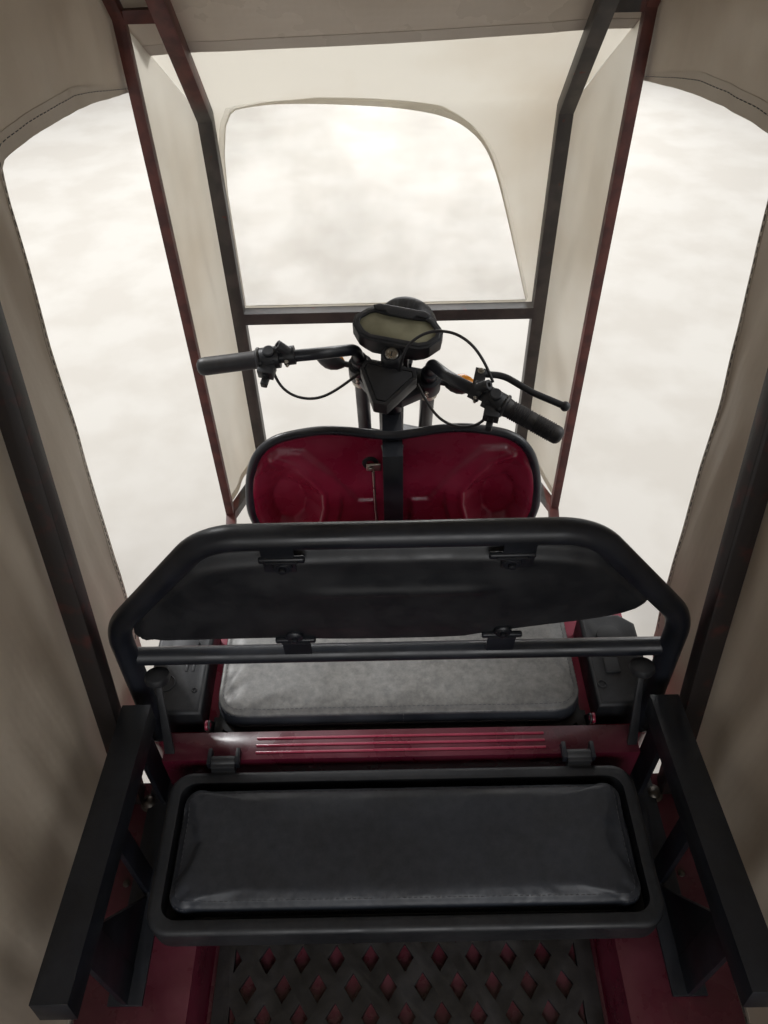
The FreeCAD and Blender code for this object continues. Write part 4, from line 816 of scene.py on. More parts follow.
def screen_station(z, offset=SKIN_MIDDLE):
    """Where the front skin stands at a height: upright to the kink, and leaning back above it."""
    slope = SCREEN_STATION - (z - KINK) * SCREEN_SLOPE + offset / math.cos(math.atan(SCREEN_SLOPE))
    upright = SCREEN_STATION + offset
    return min(upright, slope) - 3 * math.exp(-((z - KINK - 7) / 25) ** 2)


def between_bows(station):
    """0 on a bow and 1 midway between two."""
    for low, high in zip(BOW_STATIONS, BOW_STATIONS[1:]):
        if low <= station <= high:
            return math.sin(math.pi * (station - low) / (high - low)) ** 2
    return 0.0


class RICKSHAW_OT_roof(bpy.types.Operator):
    """Stretches the roof canvas over the bows, with its sewn hem and the flap that hangs at the front"""

    bl_idname = "rickshaw.roof"
    bl_label = "Roof canvas"

    def execute(self, context):
        thickness = sizes().canvas_thickness
        depth = sizes().fold_depth / MM
        half = SIDE_PLANE + 4

        def roof(u, v):
            x = half * (2 * u - 1)
            top = roof_height(x)
            front = screen_station(top)
            station = ROOF_REAR + (front - ROOF_REAR) * v
            slack = between_bows(station) * (1 - abs(2 * u - 1) ** 4)
            wave = 0.35 * fold((station, x), 260, 90, 1) + 0.3 * fold((x, station), 200, 120, 2)
            return at(x, station, top + slack * (depth * wave - 12))

        def skirt(side):
            """The roof canvas turned down over the side rail, where it is sewn to the side."""
            def place(u, v):
                station = ROOF_REAR + (screen_station(roof_height(half)) - ROOF_REAR) * u
                z = roof_height(half) + 1 - 58 * v
                bulge = 1.8 + 2.2 * math.sin(math.pi * v) + 0.8 * fold((station, z), 120, 60, 5 + side)
                return at(side * (half + bulge * step(v, 0, 0.15)), station, z)
            return place

        def flap(u, v):
            x = 452 * (2 * u - 1)
            low = 1422 + 0.037 * x + 1.5 * math.sin(9 * u)
            z = low + (roof_height(x) - 6 - low) * v
            clear = 1 - step(abs(abs(x) - SCREEN_POST_X), 20, 90)
            hang = 13 * math.sin(math.pi * min(1, v * 1.15)) * (1 - clear) * (1 - step(abs(x), 390, 450))
            ripple = 3.5 * fold((x, z), 240, 60, 11) * (1 - clear)
            lean = math.atan(SCREEN_SLOPE)
            out = -(hang + 4.5 * (1 - clear) + max(-1, ripple) * step(v, 0.02, 0.2))
            station = SCREEN_STATION - (z - KINK) * SCREEN_SLOPE + (SKIN_MIDDLE - 1.9 + out) / math.cos(lean)
            return at(x, station, z)

        canvas, area = cloth_sheet("roof_canvas", 60, 110, roof, thickness)
        fit(canvas, "canvas", "root", ("canopy_roof",))
        for side, name in ((1, "right"), (-1, "left")):
            turned_down, _ = cloth_sheet("roof_skirt_" + name, 110, 8, skirt(side), thickness)
            fit(turned_down, "canvas", "root")
            rows = [shifted([skirt(side)(i / 90, row) for i in range(91)], side * 0.9) for row in (0.84, 0.93)]
            fit(stitched("roof_skirt_stitches_" + name, rows), "thread", "root")
        lining, area = cloth_sheet("front_flap", 70, 36, flap, thickness)
        fit(lining, "canvas_shade", "root")
        hem = fit(hem_of("front_flap_hem", 70, flap, 0.05, 2.2), "canvas_shade", "root")
        return {"FINISHED"}


class RICKSHAW_OT_sides(bpy.types.Operator):
    """Hangs the side canvases with their door cut-outs, turned hems and stitches"""

    bl_idname = "rickshaw.sides"
    bl_label = "Side canvases"

    def execute(self, context):
        thickness = sizes().canvas_thickness
        depth = sizes().fold_depth / MM
        door = softened_path([(ROOF_REAR + 10, HEM), *DOOR_REAR, *DOOR_TOP], 2)
        for name, side, seed in (("right", 1, 3), ("left", -1, 9)):
            def place(u, v, side=side, seed=seed):
                edge = along(door, u)
                station, low = edge.x, edge.y
                high = min(EAVE + 8, KINK + (SCREEN_STATION + SKIN_MIDDLE - station) / SCREEN_SLOPE)
                z = low + (high - low) * v
                from_top = step(high - z, 0, 160)
                from_low = 0.55 + 0.45 * step(z - low, 0, 120)
                wave = 0.9 * fold((z, station), 460, 85, seed)
                wave += 0.6 * fold((station + 0.5 * z, z), 380, 150, seed + 1)
                out = 1.4 + depth * (0.25 + wave) * from_top * from_low
                return at(side * (SIDE_PLANE + 3.5 + max(out, -1.2)), station, z)

            canvas, area = cloth_sheet("side_canvas_" + name, 190, 80, place, thickness)
            fit(canvas, "canvas", "root", ("canopy_side_" + name,))

            def turned_up(u, v, place=place):
                return place(u, v * (0.022 if u < DOOR_HEM_FROM else 0.08))

            hem = fit(hem_of("side_hem_" + name, 190, turned_up, 1), "canvas", "root")
            row = [place(i / 260, 0.014 if i / 260 < DOOR_HEM_FROM else 0.05) for i in range(261)]
            rows = [shifted(row, across) for across in (-1.6, 1.6)]
            seam = fit(stitched("side_stitches_" + name, rows, 13, 8), "thread", "root")
        return {"FINISHED"}


class RICKSHAW_OT_front(bpy.types.Operator):
    """Stretches the front canvas over the windscreen posts, with its clear window and the band where the film
    is welded on
    """

    bl_idname = "rickshaw.front"
    bl_label = "Front canvas and window"

    def execute(self, context):
        thickness = sizes().canvas_thickness
        centre = Vector((0, 1080))
        low = SCREEN_BAR - 15
        side_kink = KINK + (SCREEN_STATION - SIDE_POST_STATION) / SCREEN_SLOPE
        arch = [(x, roof_height(x) - 3) for x in range(440, -441, -40)]
        outer = [(-384, low), (384, low), (384, KINK), (458, side_kink), (458, EAVE + 8), *arch,
                 (-458, EAVE + 8), (-458, side_kink), (-384, KINK)]
        window = [tuple(p) for p in softened_path([*WINDOW[1:], WINDOW[0]], 2)]
        sharp = [*outer[:5], *outer[-3:], window[0], window[-1]]
        corners = [math.atan2(z - centre.y, x - centre.x) % (2 * math.pi) for x, z in sharp]
        turns = sorted(corners + [2 * math.pi * i / 168 for i in range(168)])
        turns.append(turns[0] + 2 * math.pi)

        def sheet_place(u, v):
            spot = u * (len(turns) - 1)
            first = min(int(spot), len(turns) - 2)
            angle = turns[first] + (turns[first + 1] - turns[first]) * (spot - first)
            far, near = reach(outer, centre, angle), reach(window, centre, angle)
            run = far + (near - far) * v
            x, z = centre.x + run * math.cos(angle), centre.y + run * math.sin(angle)
            on_post = 1 - step(abs(abs(x) - SCREEN_POST_X), 18, 60)
            # The folds die out at the posts, the bar and the window's edge, where the film is welded on
            free = (1 - on_post) * step(v, 0, 0.15) * (1 - step(v, 0.55, 0.85))
            free *= step(z, SCREEN_BAR + 10, SCREEN_BAR + 90)
            wave = max(-2.5, 4.5 * fold((z, x), 330, 70, 21) + 2.5 * fold((x, z), 160, 60, 22))
            return at(x, screen_station(z, SKIN_MIDDLE + 0.4 + free * wave), z)

        def film_place(u, v):
            angle = 2 * math.pi * u
            run = (reach(window, centre, angle) + 13) * v
            x, z = centre.x + run * math.cos(angle), centre.y + run * math.sin(angle)
            inside = 1 - step(v, 0.6, 0.93)
            wave = 4 * fold((z, x), 420, 200, 31) + 1.5 * fold((x, z), 150, 110, 32)
            return at(x, screen_station(z, SKIN_MIDDLE - 1.1 + inside * wave), z)

        columns = len(turns) - 1
        canvas, area = cloth_sheet("front_canvas", columns, 34, sheet_place, thickness, closed=True)
        # The front canvas and its weld band take the canvas paled as painted light
        fit(canvas, "canvas_painted_light", "root", ("windscreen_cloth",))
        # The film is welded on along a narrow band
        weld, _ = cloth_sheet("window_weld", columns, 1, lambda u, v: sheet_place(u, 1 - 0.03 * v),
                              thickness * 1.7, closed=True)
        fit(weld, "canvas_painted_light", "root")
        film, area = cloth_sheet("window_film", 150, 44, film_place, 0.6 * MM, closed=True)
        fit(film, "film", "root", ("windscreen_film",))
        return {"FINISHED"}


class RICKSHAW_OT_corners(bpy.types.Operator):
    """Hangs the narrow corner canvases between the posts, and the short canvas across the rear"""

    bl_idname = "rickshaw.corners"
    bl_label = "Corner and rear canvases"

    def execute(self, context):
        thickness = sizes().canvas_thickness
        depth = sizes().fold_depth / MM
        for name, side, seed in (("right", 1, 41), ("left", -1, 47)):
            def place(u, v, side=side, seed=seed):
                x = SIDE_PLANE + 1 - (SIDE_PLANE + 1 - SCREEN_POST_X - 17) * u
                station = SIDE_POST_STATION + 12 + (SCREEN_STATION + 14 - SIDE_POST_STATION - 12) * u
                high = KINK + (SCREEN_STATION + SKIN_MIDDLE - 1 - station) / SCREEN_SLOPE
                low = 318 + 10 * math.sin(7 * u + seed)
                z = low + (high - low) * v
                free = math.sin(math.pi * u) * step(high - z, 0, 110)
                wave = depth * (0.4 + 0.75 * fold((z, 60 * u), 300, 24, seed)) * free
                return at(side * (x + 0.93 * wave), station + 0.36 * wave, z)

            canvas, area = cloth_sheet("corner_canvas_" + name, 26, 110, place, thickness)
            # The corner canvases and their hems take the canvas paled as painted light
            fit(canvas, "canvas_painted_light", "root", ("quarter_panels",) if side > 0 else ())
            hem = fit(hem_of("corner_hem_" + name, 26, place, 0.018), "canvas_painted_light", "root")

        def valance(u, v):
            x = (SIDE_PLANE + 1) * (2 * u - 1)
            low = 1646 + 9 * math.sin(8 * u) + 5 * math.sin(19 * u)
            z = low + (roof_height(x) - 5 - low) * v
            wave = depth * (0.3 + 0.9 * fold((z, x), 260, 65, 61)) * step(1 - v, 0, 0.5)
            return at(x, REAR_POST - 17 - wave * step(1 - abs(2 * u - 1), 0, 0.12), z)

        canvas, area = cloth_sheet("rear_canvas", 90, 26, valance, thickness)
        fit(canvas, "canvas", "root", ("rear_valance",))
        hem = fit(hem_of("rear_canvas_hem", 90, valance, 0.09), "canvas", "root")
        return {"FINISHED"}


def outside(point, outline):
    """A point's distance from a closed outline, negative inside it."""
    near = 1e9
    within = False
    x, z = point
    for (ax, az), (bx, bz) in zip(outline, outline[1:] + outline[:1]):
        side = (bx - ax, bz - az)
        share = ((x - ax) * side[0] + (z - az) * side[1]) / (side[0] ** 2 + side[1] ** 2)
        share = min(1.0, max(0.0, share))
        near = min(near, math.hypot(x - ax - share * side[0], z - az - share * side[1]))
        if (az > z) != (bz > z) and x < ax + (z - az) * (bx - ax) / (bz - az):
            within = not within
    return -near if within else near


def rounded_distance(x, y, half_x, half_y, corner):
    """A point's distance from a rectangle with round corners, negative inside it."""
    dx, dy = abs(x) - half_x + corner, abs(y) - half_y + corner
    return math.hypot(max(dx, 0), max(dy, 0)) + min(max(dx, dy), 0) - corner


def rounded_loop(middle, half_x, half_y, corner, count=260):
    """Points evenly round a rectangle with round corners, in millimetres from its middle."""
    corners = []
    for sx, sy, start in ((1, 1, 0), (-1, 1, 90), (-1, -1, 180), (1, -1, 270)):
        for i in range(9):
            angle = math.radians(start + i * 90 / 8)
            corners.append(Vector((middle[0] + sx * (half_x - corner) + corner * math.cos(angle),
                                   middle[1] + sy * (half_y - corner) + corner * math.sin(angle))))
    corners.append(corners[0].copy())
    return [along(corners, i / count) for i in range(count + 1)]


def polar_shell(name, outline, centre, surface, rings, sectors, thickness, notch=None):
    """A moulded panel: rings of points between a centre and an outline, set by surface(x, z)."""
    def place(u, v):
        angle = 2 * math.pi * u
        run = reach(outline, centre, angle) * v
        return surface(centre.x + run * math.cos(angle), centre.y + run * math.sin(angle))

    deselect()
    bpy.ops.mesh.primitive_grid_add(x_subdivisions=sectors, y_subdivisions=rings, size=1)
    obj = take_new(name)
    for vertex in obj.data.vertices:
        vertex.co = place(vertex.co.x + 0.5, vertex.co.y + 0.5)
    edit(obj)
    bpy.ops.mesh.remove_doubles(threshold=0.02 * MM)
    if notch:
        pick_faces(obj, notch)
        bpy.ops.mesh.delete(type="FACE")
    done()
    add_modifier(obj, "SOLIDIFY", thickness=thickness, offset=0)
    return obj


def hex_bolt(name, spot, facing, across=10, height=5, washer=8):
    """A hexagon head on a round washer, at a place in metres and facing a direction."""
    deselect()
    bpy.ops.mesh.primitive_cylinder_add(vertices=6, radius=across / 2 * 1.155 * MM, depth=height * MM,
                                        location=(0, 0, (height / 2 + 1.5) * MM))
    head = take_new(name)
    round_edges(head, 0.8 * MM, 2)
    disc = turned(name + "_washer", [(0, 0), (0, washer), (1, washer + 0.6), (1.8, washer), (1.8, 0)],
                  (0, 0, 0), (0, 0, 1), 24)
    bolt = joined(name, [head, disc])
    turn = Vector(facing).to_track_quat("Z", "Y").to_matrix().to_4x4()
    return placed(bolt, Matrix.Translation(spot) @ turn)


def steer(x, y, z):
    """A place in the steering's own frame, from millimetres."""
    return STEERING @ Vector((x * MM, y * MM, z * MM))


def back(x, y, z):
    """A place on the leaned backrest, from millimetres above its feet."""
    return BACK @ Vector((x * MM, y * MM, z * MM))


def cable_curve(name, points, radius):
    """A smooth cable whose control points are given; it becomes a closed mesh."""
    line = bpy.data.curves.new(name, "CURVE")
    line.dimensions = "3D"
    spline = line.splines.new("NURBS")
    spline.points.add(len(points) - 1)
    for slot, point in zip(spline.points, points):
        slot.co = (*point, 1)
    spline.order_u = 3
    spline.use_endpoint_u = True
    line.resolution_u = 14
    line.bevel_depth = radius * MM
    line.bevel_resolution = 5
    line.use_fill_caps = True
    obj = bpy.data.objects.new(name, line)
    bpy.context.scene.collection.objects.link(obj)
    select_only(obj)
    bpy.ops.object.convert(target="MESH")
    obj = bpy.context.object
    edit(obj)
    bpy.ops.mesh.remove_doubles(threshold=0.01 * MM)
    done()
    return obj


class RICKSHAW_OT_leg_shield(bpy.types.Operator):
    """Moulds the leg shield with its pockets and creases, and runs the rubber edge round it"""

    bl_idname = "rickshaw.leg_shield"
    bl_label = "Leg shield"

    def execute(self, context):
        mouth, floor, field = ([(x, SHIELD_TOP - drop) for x, drop in shape]
                               for shape in (POCKET_MOUTH, POCKET_FLOOR, CREASE))
        half = [(x, SHIELD_TOP - drop) for x, drop in SHIELD_HALF[:-1]] + [(SHIELD_HALF[-1][0], FLOOR_TOP + 1)]
        outline = half + [(-x, z) for x, z in half[:0:-1]]

        def station(x, z):
            """The rider's side of the panel; a higher station lies deeper."""
            ax, drop = abs(x), SHIELD_TOP - z
            to_mouth = outside((ax, z), mouth)
            depth = 0.0
            if to_mouth < 0:
                to_floor = max(0.0, outside((ax, z), floor))
                depth = 46 * min(1.0, 1.08 * -to_mouth / (to_floor - to_mouth))
            ridge = 3.2 * math.exp(-((to_mouth - 5) / 5) ** 2) if to_mouth > -3 else 0.0
            raised = 6 * step(-outside((ax, z), field), 0, 13)
            shoulder = 5 * step(42 - to_mouth, 0, 7) * step(drop, 150, 190)
            lip = 4 * (1 - step(-outside((x, z), outline), 4, 22))
            return SHIELD_STATION - SHIELD_BOW * (x / 340) ** 2 + depth - ridge - raised - shoulder - lip

        def surface(x, z):
            return at(x, station(x, z), z)

        def arm_slot(centre, normal):
            low = centre.z - (SHIELD_TOP - ARM_BELOW_TOP) * MM
            return abs(centre.x) < ARM_SLOT_HALF * MM and abs(low) < ARM_SLOT_HALF * MM

        panel = polar_shell("leg_shield_panel", outline, Vector((0, SHIELD_TOP - 210)), surface, 96, 280,
                            3.2 * MM, arm_slot)
        fit(panel, "maroon", "root", ("leg_shield",), 50)

        # The rubber edge is a split tube pushed over the panel's rim, open along the floor
        rim = softened_path(half[::-1] + [(-x, z) for x, z in half[1:]], 2)
        trim = cable_curve("leg_shield_edge", [at(p.x, station(p.x, p.y), p.y) for p in rim], 9.2)
        fit(trim, "rubber_gloss", "root", ("shield_trim",), 60)

        # A bright bracket in its dark grommet beside the down tube, and the brake rod that hangs from it
        eye = Vector((-46, SHIELD_TOP - 87))
        grommet = turned("rod_grommet", [(0, 8), (0, 16), (3, 17.5), (6, 16), (6, 8), (0, 8)],
                         at(eye.x, station(*eye) - 4, eye.y), (0, 1, 0), 32)
        fit(grommet, "rubber", "root")
        bracket = rounded_block("rod_bracket", at(-54, 1183, eye.y - 10), at(-24, 1188, eye.y + 9),
                                4 * MM, 4, 40)
        nut = hex_bolt("rod_nut", at(-46, 1183, eye.y), (0, -1, 0), 9, 5, 6)
        rod = cable_curve("brake_rod", [at(-40, 1178, eye.y - 6), at(-38, 1175, 640), at(-32, 1172, 480),
                                        at(-28, 1166, FLOOR_TOP + 1)], 2.6)
        fit(joined("rod_and_bracket", [bracket, nut, rod]), "steel", "root")
        # A flat stay welded across the down tube
        stay = rounded_block("tube_stay", mm(-3, -3, -34), mm(3, 3, 34), 1 * MM)
        lean = Matrix.Rotation(math.radians(-24), 4, "Y")
        placed(stay, Matrix.Translation(at(0, 1160, SHIELD_TOP - 74)) @ lean)
        fit(stay, "grey_paint", "root")
        return {"FINISHED"}


def cushion_block(name, low, high, corner, crown):
    """A plain block with round corners and a softened top, a little smaller than the finished cushion."""
    block = add_block(name, at(*low), at(*high))
    edit(block, "NONE")
    bpy.ops.object.mode_set(mode="OBJECT")
    for edge in block.data.edges:
        a, b = (block.data.vertices[i].co for i in edge.vertices)
        edge.select = abs(a.z - b.z) > 1 * MM
    bpy.ops.object.mode_set(mode="EDIT")
    bpy.ops.mesh.select_mode(type="EDGE")
    bpy.ops.mesh.bevel(offset=corner * MM, segments=8)
    done()
    round_edges(block, crown * MM, 4, 60)
    return block


def swell(obj, voxel, cap, low, frames=20):
    """Fills a cover by cloth pressure, holds its underside, and caps how far each point may move."""
    add_modifier(obj, "REMESH", mode="VOXEL", voxel_size=voxel * MM)
    start = [v.co.copy() for v in obj.data.vertices]
    held = obj.vertex_groups.new(name="underside")
    held.add([v.index for v in obj.data.vertices if v.co.z < low], 1.0, "REPLACE")
    select_only(obj)
    cover = obj.modifiers.new("Cover", "CLOTH")
    cover.settings.quality = 4
    cover.settings.use_pressure = True
    cover.settings.uniform_pressure_force = COVER_PRESSURE
    cover.settings.effector_weights.gravity = 0
    cover.settings.vertex_group_mass = held.name
    scene = bpy.context.scene
    for number in range(1, frames + 1):
        scene.frame_set(number)
    bpy.ops.object.modifier_apply(modifier=cover.name)
    scene.frame_set(1)
    for vertex, first in zip(obj.data.vertices, start):
        move = vertex.co - first
        if move.length > cap * MM:
            vertex.co = first + move.normalized() * cap * MM
    obj.vertex_groups.clear()


def surface_finder(obj):
    """A tree of the piece's faces, which gives the point where a ray meets its skin."""
    tree = BVHTree.FromPolygons([v.co for v in obj.data.vertices],
                                [tuple(f.vertices) for f in obj.data.polygons])
    return lambda start, direction: tree.ray_cast(start, direction)[0]


class RICKSHAW_OT_seat_cushions(bpy.types.Operator):
    """Fills and sews the driver's cushion and the folding bench's cushion"""

    bl_idname = "rickshaw.seat_cushions"
    bl_label = "Seat cushions"

    def execute(self, context):
        # name, node, body, low corner, high corner, corner radius, seam inset, voxel, finish
        self.cover("driver_cushion", "seat_cushion", "driver_seat", (-302, 640, 675), (300, 1001, 719),
                   50, 15, 6, "vinyl_dust_and_light")
        self.cover("bench_cushion_cover", "bench_cushion", "bench", (-326, 355, 669), (326, 535, 711),
                   30, 13, 5, "vinyl")
        return {"FINISHED"}

    def cover(self, name, node, body, low, high, corner, inset, voxel, finish):
        block = cushion_block(name, low, high, corner, 11)
        swell(block, voxel, sizes().cushion_swell / MM * 0.7, (low[2] + 4) * MM)
        middle = ((low[0] + high[0]) / 2, (low[1] + high[1]) / 2)
        half_x, half_y = (high[0] - low[0]) / 2 + 3, (high[1] - low[1]) / 2 + 3
        add_modifier(block, "SUBSURF", levels=1, render_levels=1)

        def seam_distance(x, y):
            return rounded_distance(x - middle[0], y - middle[1], half_x, half_y, corner) + inset

        # The top panel is sewn to the side band: a channel with gathers that run across it
        for vertex in block.data.vertices:
            x, y = vertex.co.x / MM, (vertex.co.y - REAR_AXLE) / MM
            z = vertex.co.z / MM
            if z < high[2] - 14:
                continue
            d = seam_distance(x, y)
            channel = 2.2 * math.exp(-(d / 3.0) ** 2)
            gather = 0.9 * math.exp(-(d / 16) ** 2) * noise.noise(Vector((x / 9, y / 9, 3.1)))
            soft = 1.3 * noise.noise(Vector((x / 85, y / 70, 8.7)))
            soft += 0.5 * noise.noise(Vector((x / 30, y / 42, 1.7)))
            vertex.co.z += (gather + soft * step(-d, -4, 24) - channel) * MM
        fit(block, finish, body, (node,), 60)
        meet = surface_finder(block)
        rows = []
        for shift in (-4.2, 4.2):
            grow = shift - inset
            loop = rounded_loop(middle, half_x + grow, half_y + grow, max(8, corner + grow))
            spots = [meet(at(p.x, p.y, high[2] + 60), Vector((0, 0, -1))) for p in loop]
            rows.append([p + Vector((0, 0, 0.15 * MM)) for p in spots if p])
        if name == "driver_cushion":
            centre_seam = [meet(at(6, low[1] - 60, z), Vector((0, 1, 0))) for z in range(684, 716, 4)]
            rows.append([p for p in centre_seam if p])
        seam = stitched(name + "_stitches", rows, 7.5, 5, 0.55)
        fit(seam, "thread", body)
        # A piped welt round the band's foot
        loop = rounded_loop(middle, half_x + 30, half_y + 30, corner + 30)
        foot = []
        for p in loop[:-1]:
            inward = Vector((middle[0] - p.x, middle[1] - p.y))
            if abs(p.x - middle[0]) < half_x - corner:
                inward.x = 0
            elif abs(p.y - middle[1]) < half_y - corner:
                inward.y = 0
            hit = meet(at(p.x, p.y, low[2] + 9), Vector((inward.x, inward.y, 0)).normalized())
            if hit:
                foot.append(hit)
        piping = cable_curve(name + "_piping", foot[::3] + [foot[0]], sizes().piping_radius / MM)
        fit(piping, "vinyl", body)


class RICKSHAW_OT_backrest(bpy.types.Operator):
    """Moulds the driver's backrest shell, fills the pad in front of it and bolts it to the tube"""

    bl_idname = "rickshaw.backrest"
    bl_label = "Driver's backrest"

    def execute(self, context):
        outline = [(-384, 236), (-378, 228), (-268, 229), (-150, 231), (-100, 223), (90, 223), (116, 232),
                   (175, 246), (281, 267), (332, 288), (352, 318), (345, 342), (308, 384), (232, 452),
                   (-250, 449), (-300, 395), (-350, 338), (-372, 300)]
        smooth_outline = [tuple(p) for p in softened_path([*outline, outline[0]], 2)[1:]]

        def shell(x, z):
            inside = -outside((x, z), smooth_outline)
            turn_in = 15 * (1 - step(inside, 0, 22)) ** 1.5
            centre = step(190 - abs(x), -30, 40)
            bulge = 5 * centre * step(inside, 8, 60)
            ridge = 4 * math.exp(-((z - 372) / 9) ** 2) * step(110 - abs(x), -30, 30)
            hollow = 3 * math.exp(-((z - 405) / 22) ** 2) * step(215 - abs(x), -30, 60)
            return back(x, -12 + turn_in - bulge - ridge + hollow, z)

        middle = 325
        shell_piece = polar_shell("backrest_shell", smooth_outline, Vector((0, middle)), shell, 56, 210, 3 * MM)
        fit(shell_piece, "plastic", "root", ("backrest_pad",), 60)

        # The pad in front is a cover over foam, filled by cloth pressure
        pad = slab("backrest_cushion", [(x * 0.975 * MM, -2 * MM, (middle + (z - middle) * 0.95) * MM)
                                        for x, z in smooth_outline], (0, 24 * MM, 0))
        round_edges(pad, 7 * MM, 3, 50)
        turn_up = Matrix.Rotation(math.radians(90), 4, "X")
        # The pad lies flat while it is filled, so that its back is the side that is held
        placed(pad, turn_up)
        floor = min(v.co.z for v in pad.data.vertices)
        swell(pad, 6, sizes().cushion_swell / MM, floor + 4 * MM)
        add_modifier(pad, "SUBSURF", levels=1, render_levels=1)
        placed(pad, BACK @ turn_up.inverted())
        fit(pad, "vinyl", "root", (), 60)

        bolts = []
        rearward = BACK.to_3x3() @ Vector((0, -1, 0))
        for i, (x, z, upright) in enumerate(((-144, 434, 1), (140, 434, 1), (-148, 258, -1), (147, 262, -1))):
            bolts.append(hex_bolt("lug_bolt_%d" % i, back(x, -21, z), rearward, 9, 5, 8))
            boss = turned("lug_boss", [(0, 0), (0, 13), (6, 12.5), (8, 10.5), (8, 0)],
                          back(x, -14, z), rearward, 32)
            height = z + upright * 13
            wing = rounded_block("lug_wing", mm(-29, -20, height - 5),
                                 mm(29, -12, height + 5), 3 * MM, 3, 60)
            rib = rounded_block("lug_rib", mm(-20, -23, height - 2),
                                mm(20, -14, height + 2), 1.2 * MM)
            for part in (wing, rib):
                placed(part, BACK @ Matrix.Translation((x * MM, 0, 0)))
            bolts += [boss, wing, rib]
        fit(joined("lug_bolts", bolts), "paint", "root")
        return {"FINISHED"}


class RICKSHAW_OT_tyres(bpy.types.Operator):
    """Turns the tyres with their side walls and cuts the tread blocks"""

    bl_idname = "rickshaw.tyres"
    bl_label = "Tyres"

    def execute(self, context):
        across = Vector((1, 0, 0))
        wheels = [
            # name, width, hub, axis, body
            ("rear_tyre_left", 90, at(-REAR_WHEEL_X, 0, WHEEL_RADIUS), across, "rear_wheel_left"),
            ("rear_tyre_right", 90, at(REAR_WHEEL_X, 0, WHEEL_RADIUS), across, "rear_wheel_right"),
            ("front_tyre", 80, steer(0, 30, 0), STEERING.to_3x3() @ across, "front_wheel"),
        ]
        for name, width, hub, axis, body in wheels:
            tyre = self.tyre(name + "_rubber", width, hub, axis)
            fit(tyre, "tyre", body, (name,), 40)
        return {"FINISHED"}

    def tyre(self, name, width, hub, axis):
        half = width / 2
        bead = half - 12
        wall = [(-bead, 153), (-bead - 1, 158), (-half + 7, 163), (-half + 4, 168), (-half + 3, 180),
                (-half + 0.8, 186), (-half, 196), (-half + 0.6, 208), (-half + 3, 216), (-half + 6, 224)]
        tread = [(-half + 8, 228), (-half * 0.62, 234.5), (-half * 0.34, 238), (-half * 0.26, 238.6),
                 (-half * 0.2, 235.4), (-half * 0.12, 235.4), (-half * 0.06, 239.2), (0, 239.6)]
        left = wall + tread
        profile = left + [(-d, r) for d, r in left[-2::-1]] + [(-bead, 153)]
        blocks = sizes().tread_blocks
        obj = turned(name, profile, hub, axis, blocks * 3)
        side = (Vector((0, 0, 1)) - axis * axis.z).normalized()
        forward = axis.cross(side)

        def groove(centre, normal):
            spoke = centre - hub
            across = spoke.dot(axis) / MM
            radius = math.hypot(spoke.dot(side), spoke.dot(forward)) / MM
            turn = math.atan2(spoke.dot(forward), spoke.dot(side)) / (2 * math.pi) * blocks
            shift = 0.5 if across > 0 else 0.0
            return radius > 222 and abs(across) > half * 0.3 and (turn + shift) % 1 < 0.34

        edit(obj, "NONE")
        pick_faces(obj, groove)
        bpy.ops.mesh.extrude_region_shrink_fatten(TRANSFORM_OT_shrink_fatten={"value": -sizes().tread_depth})
        done()
        return obj


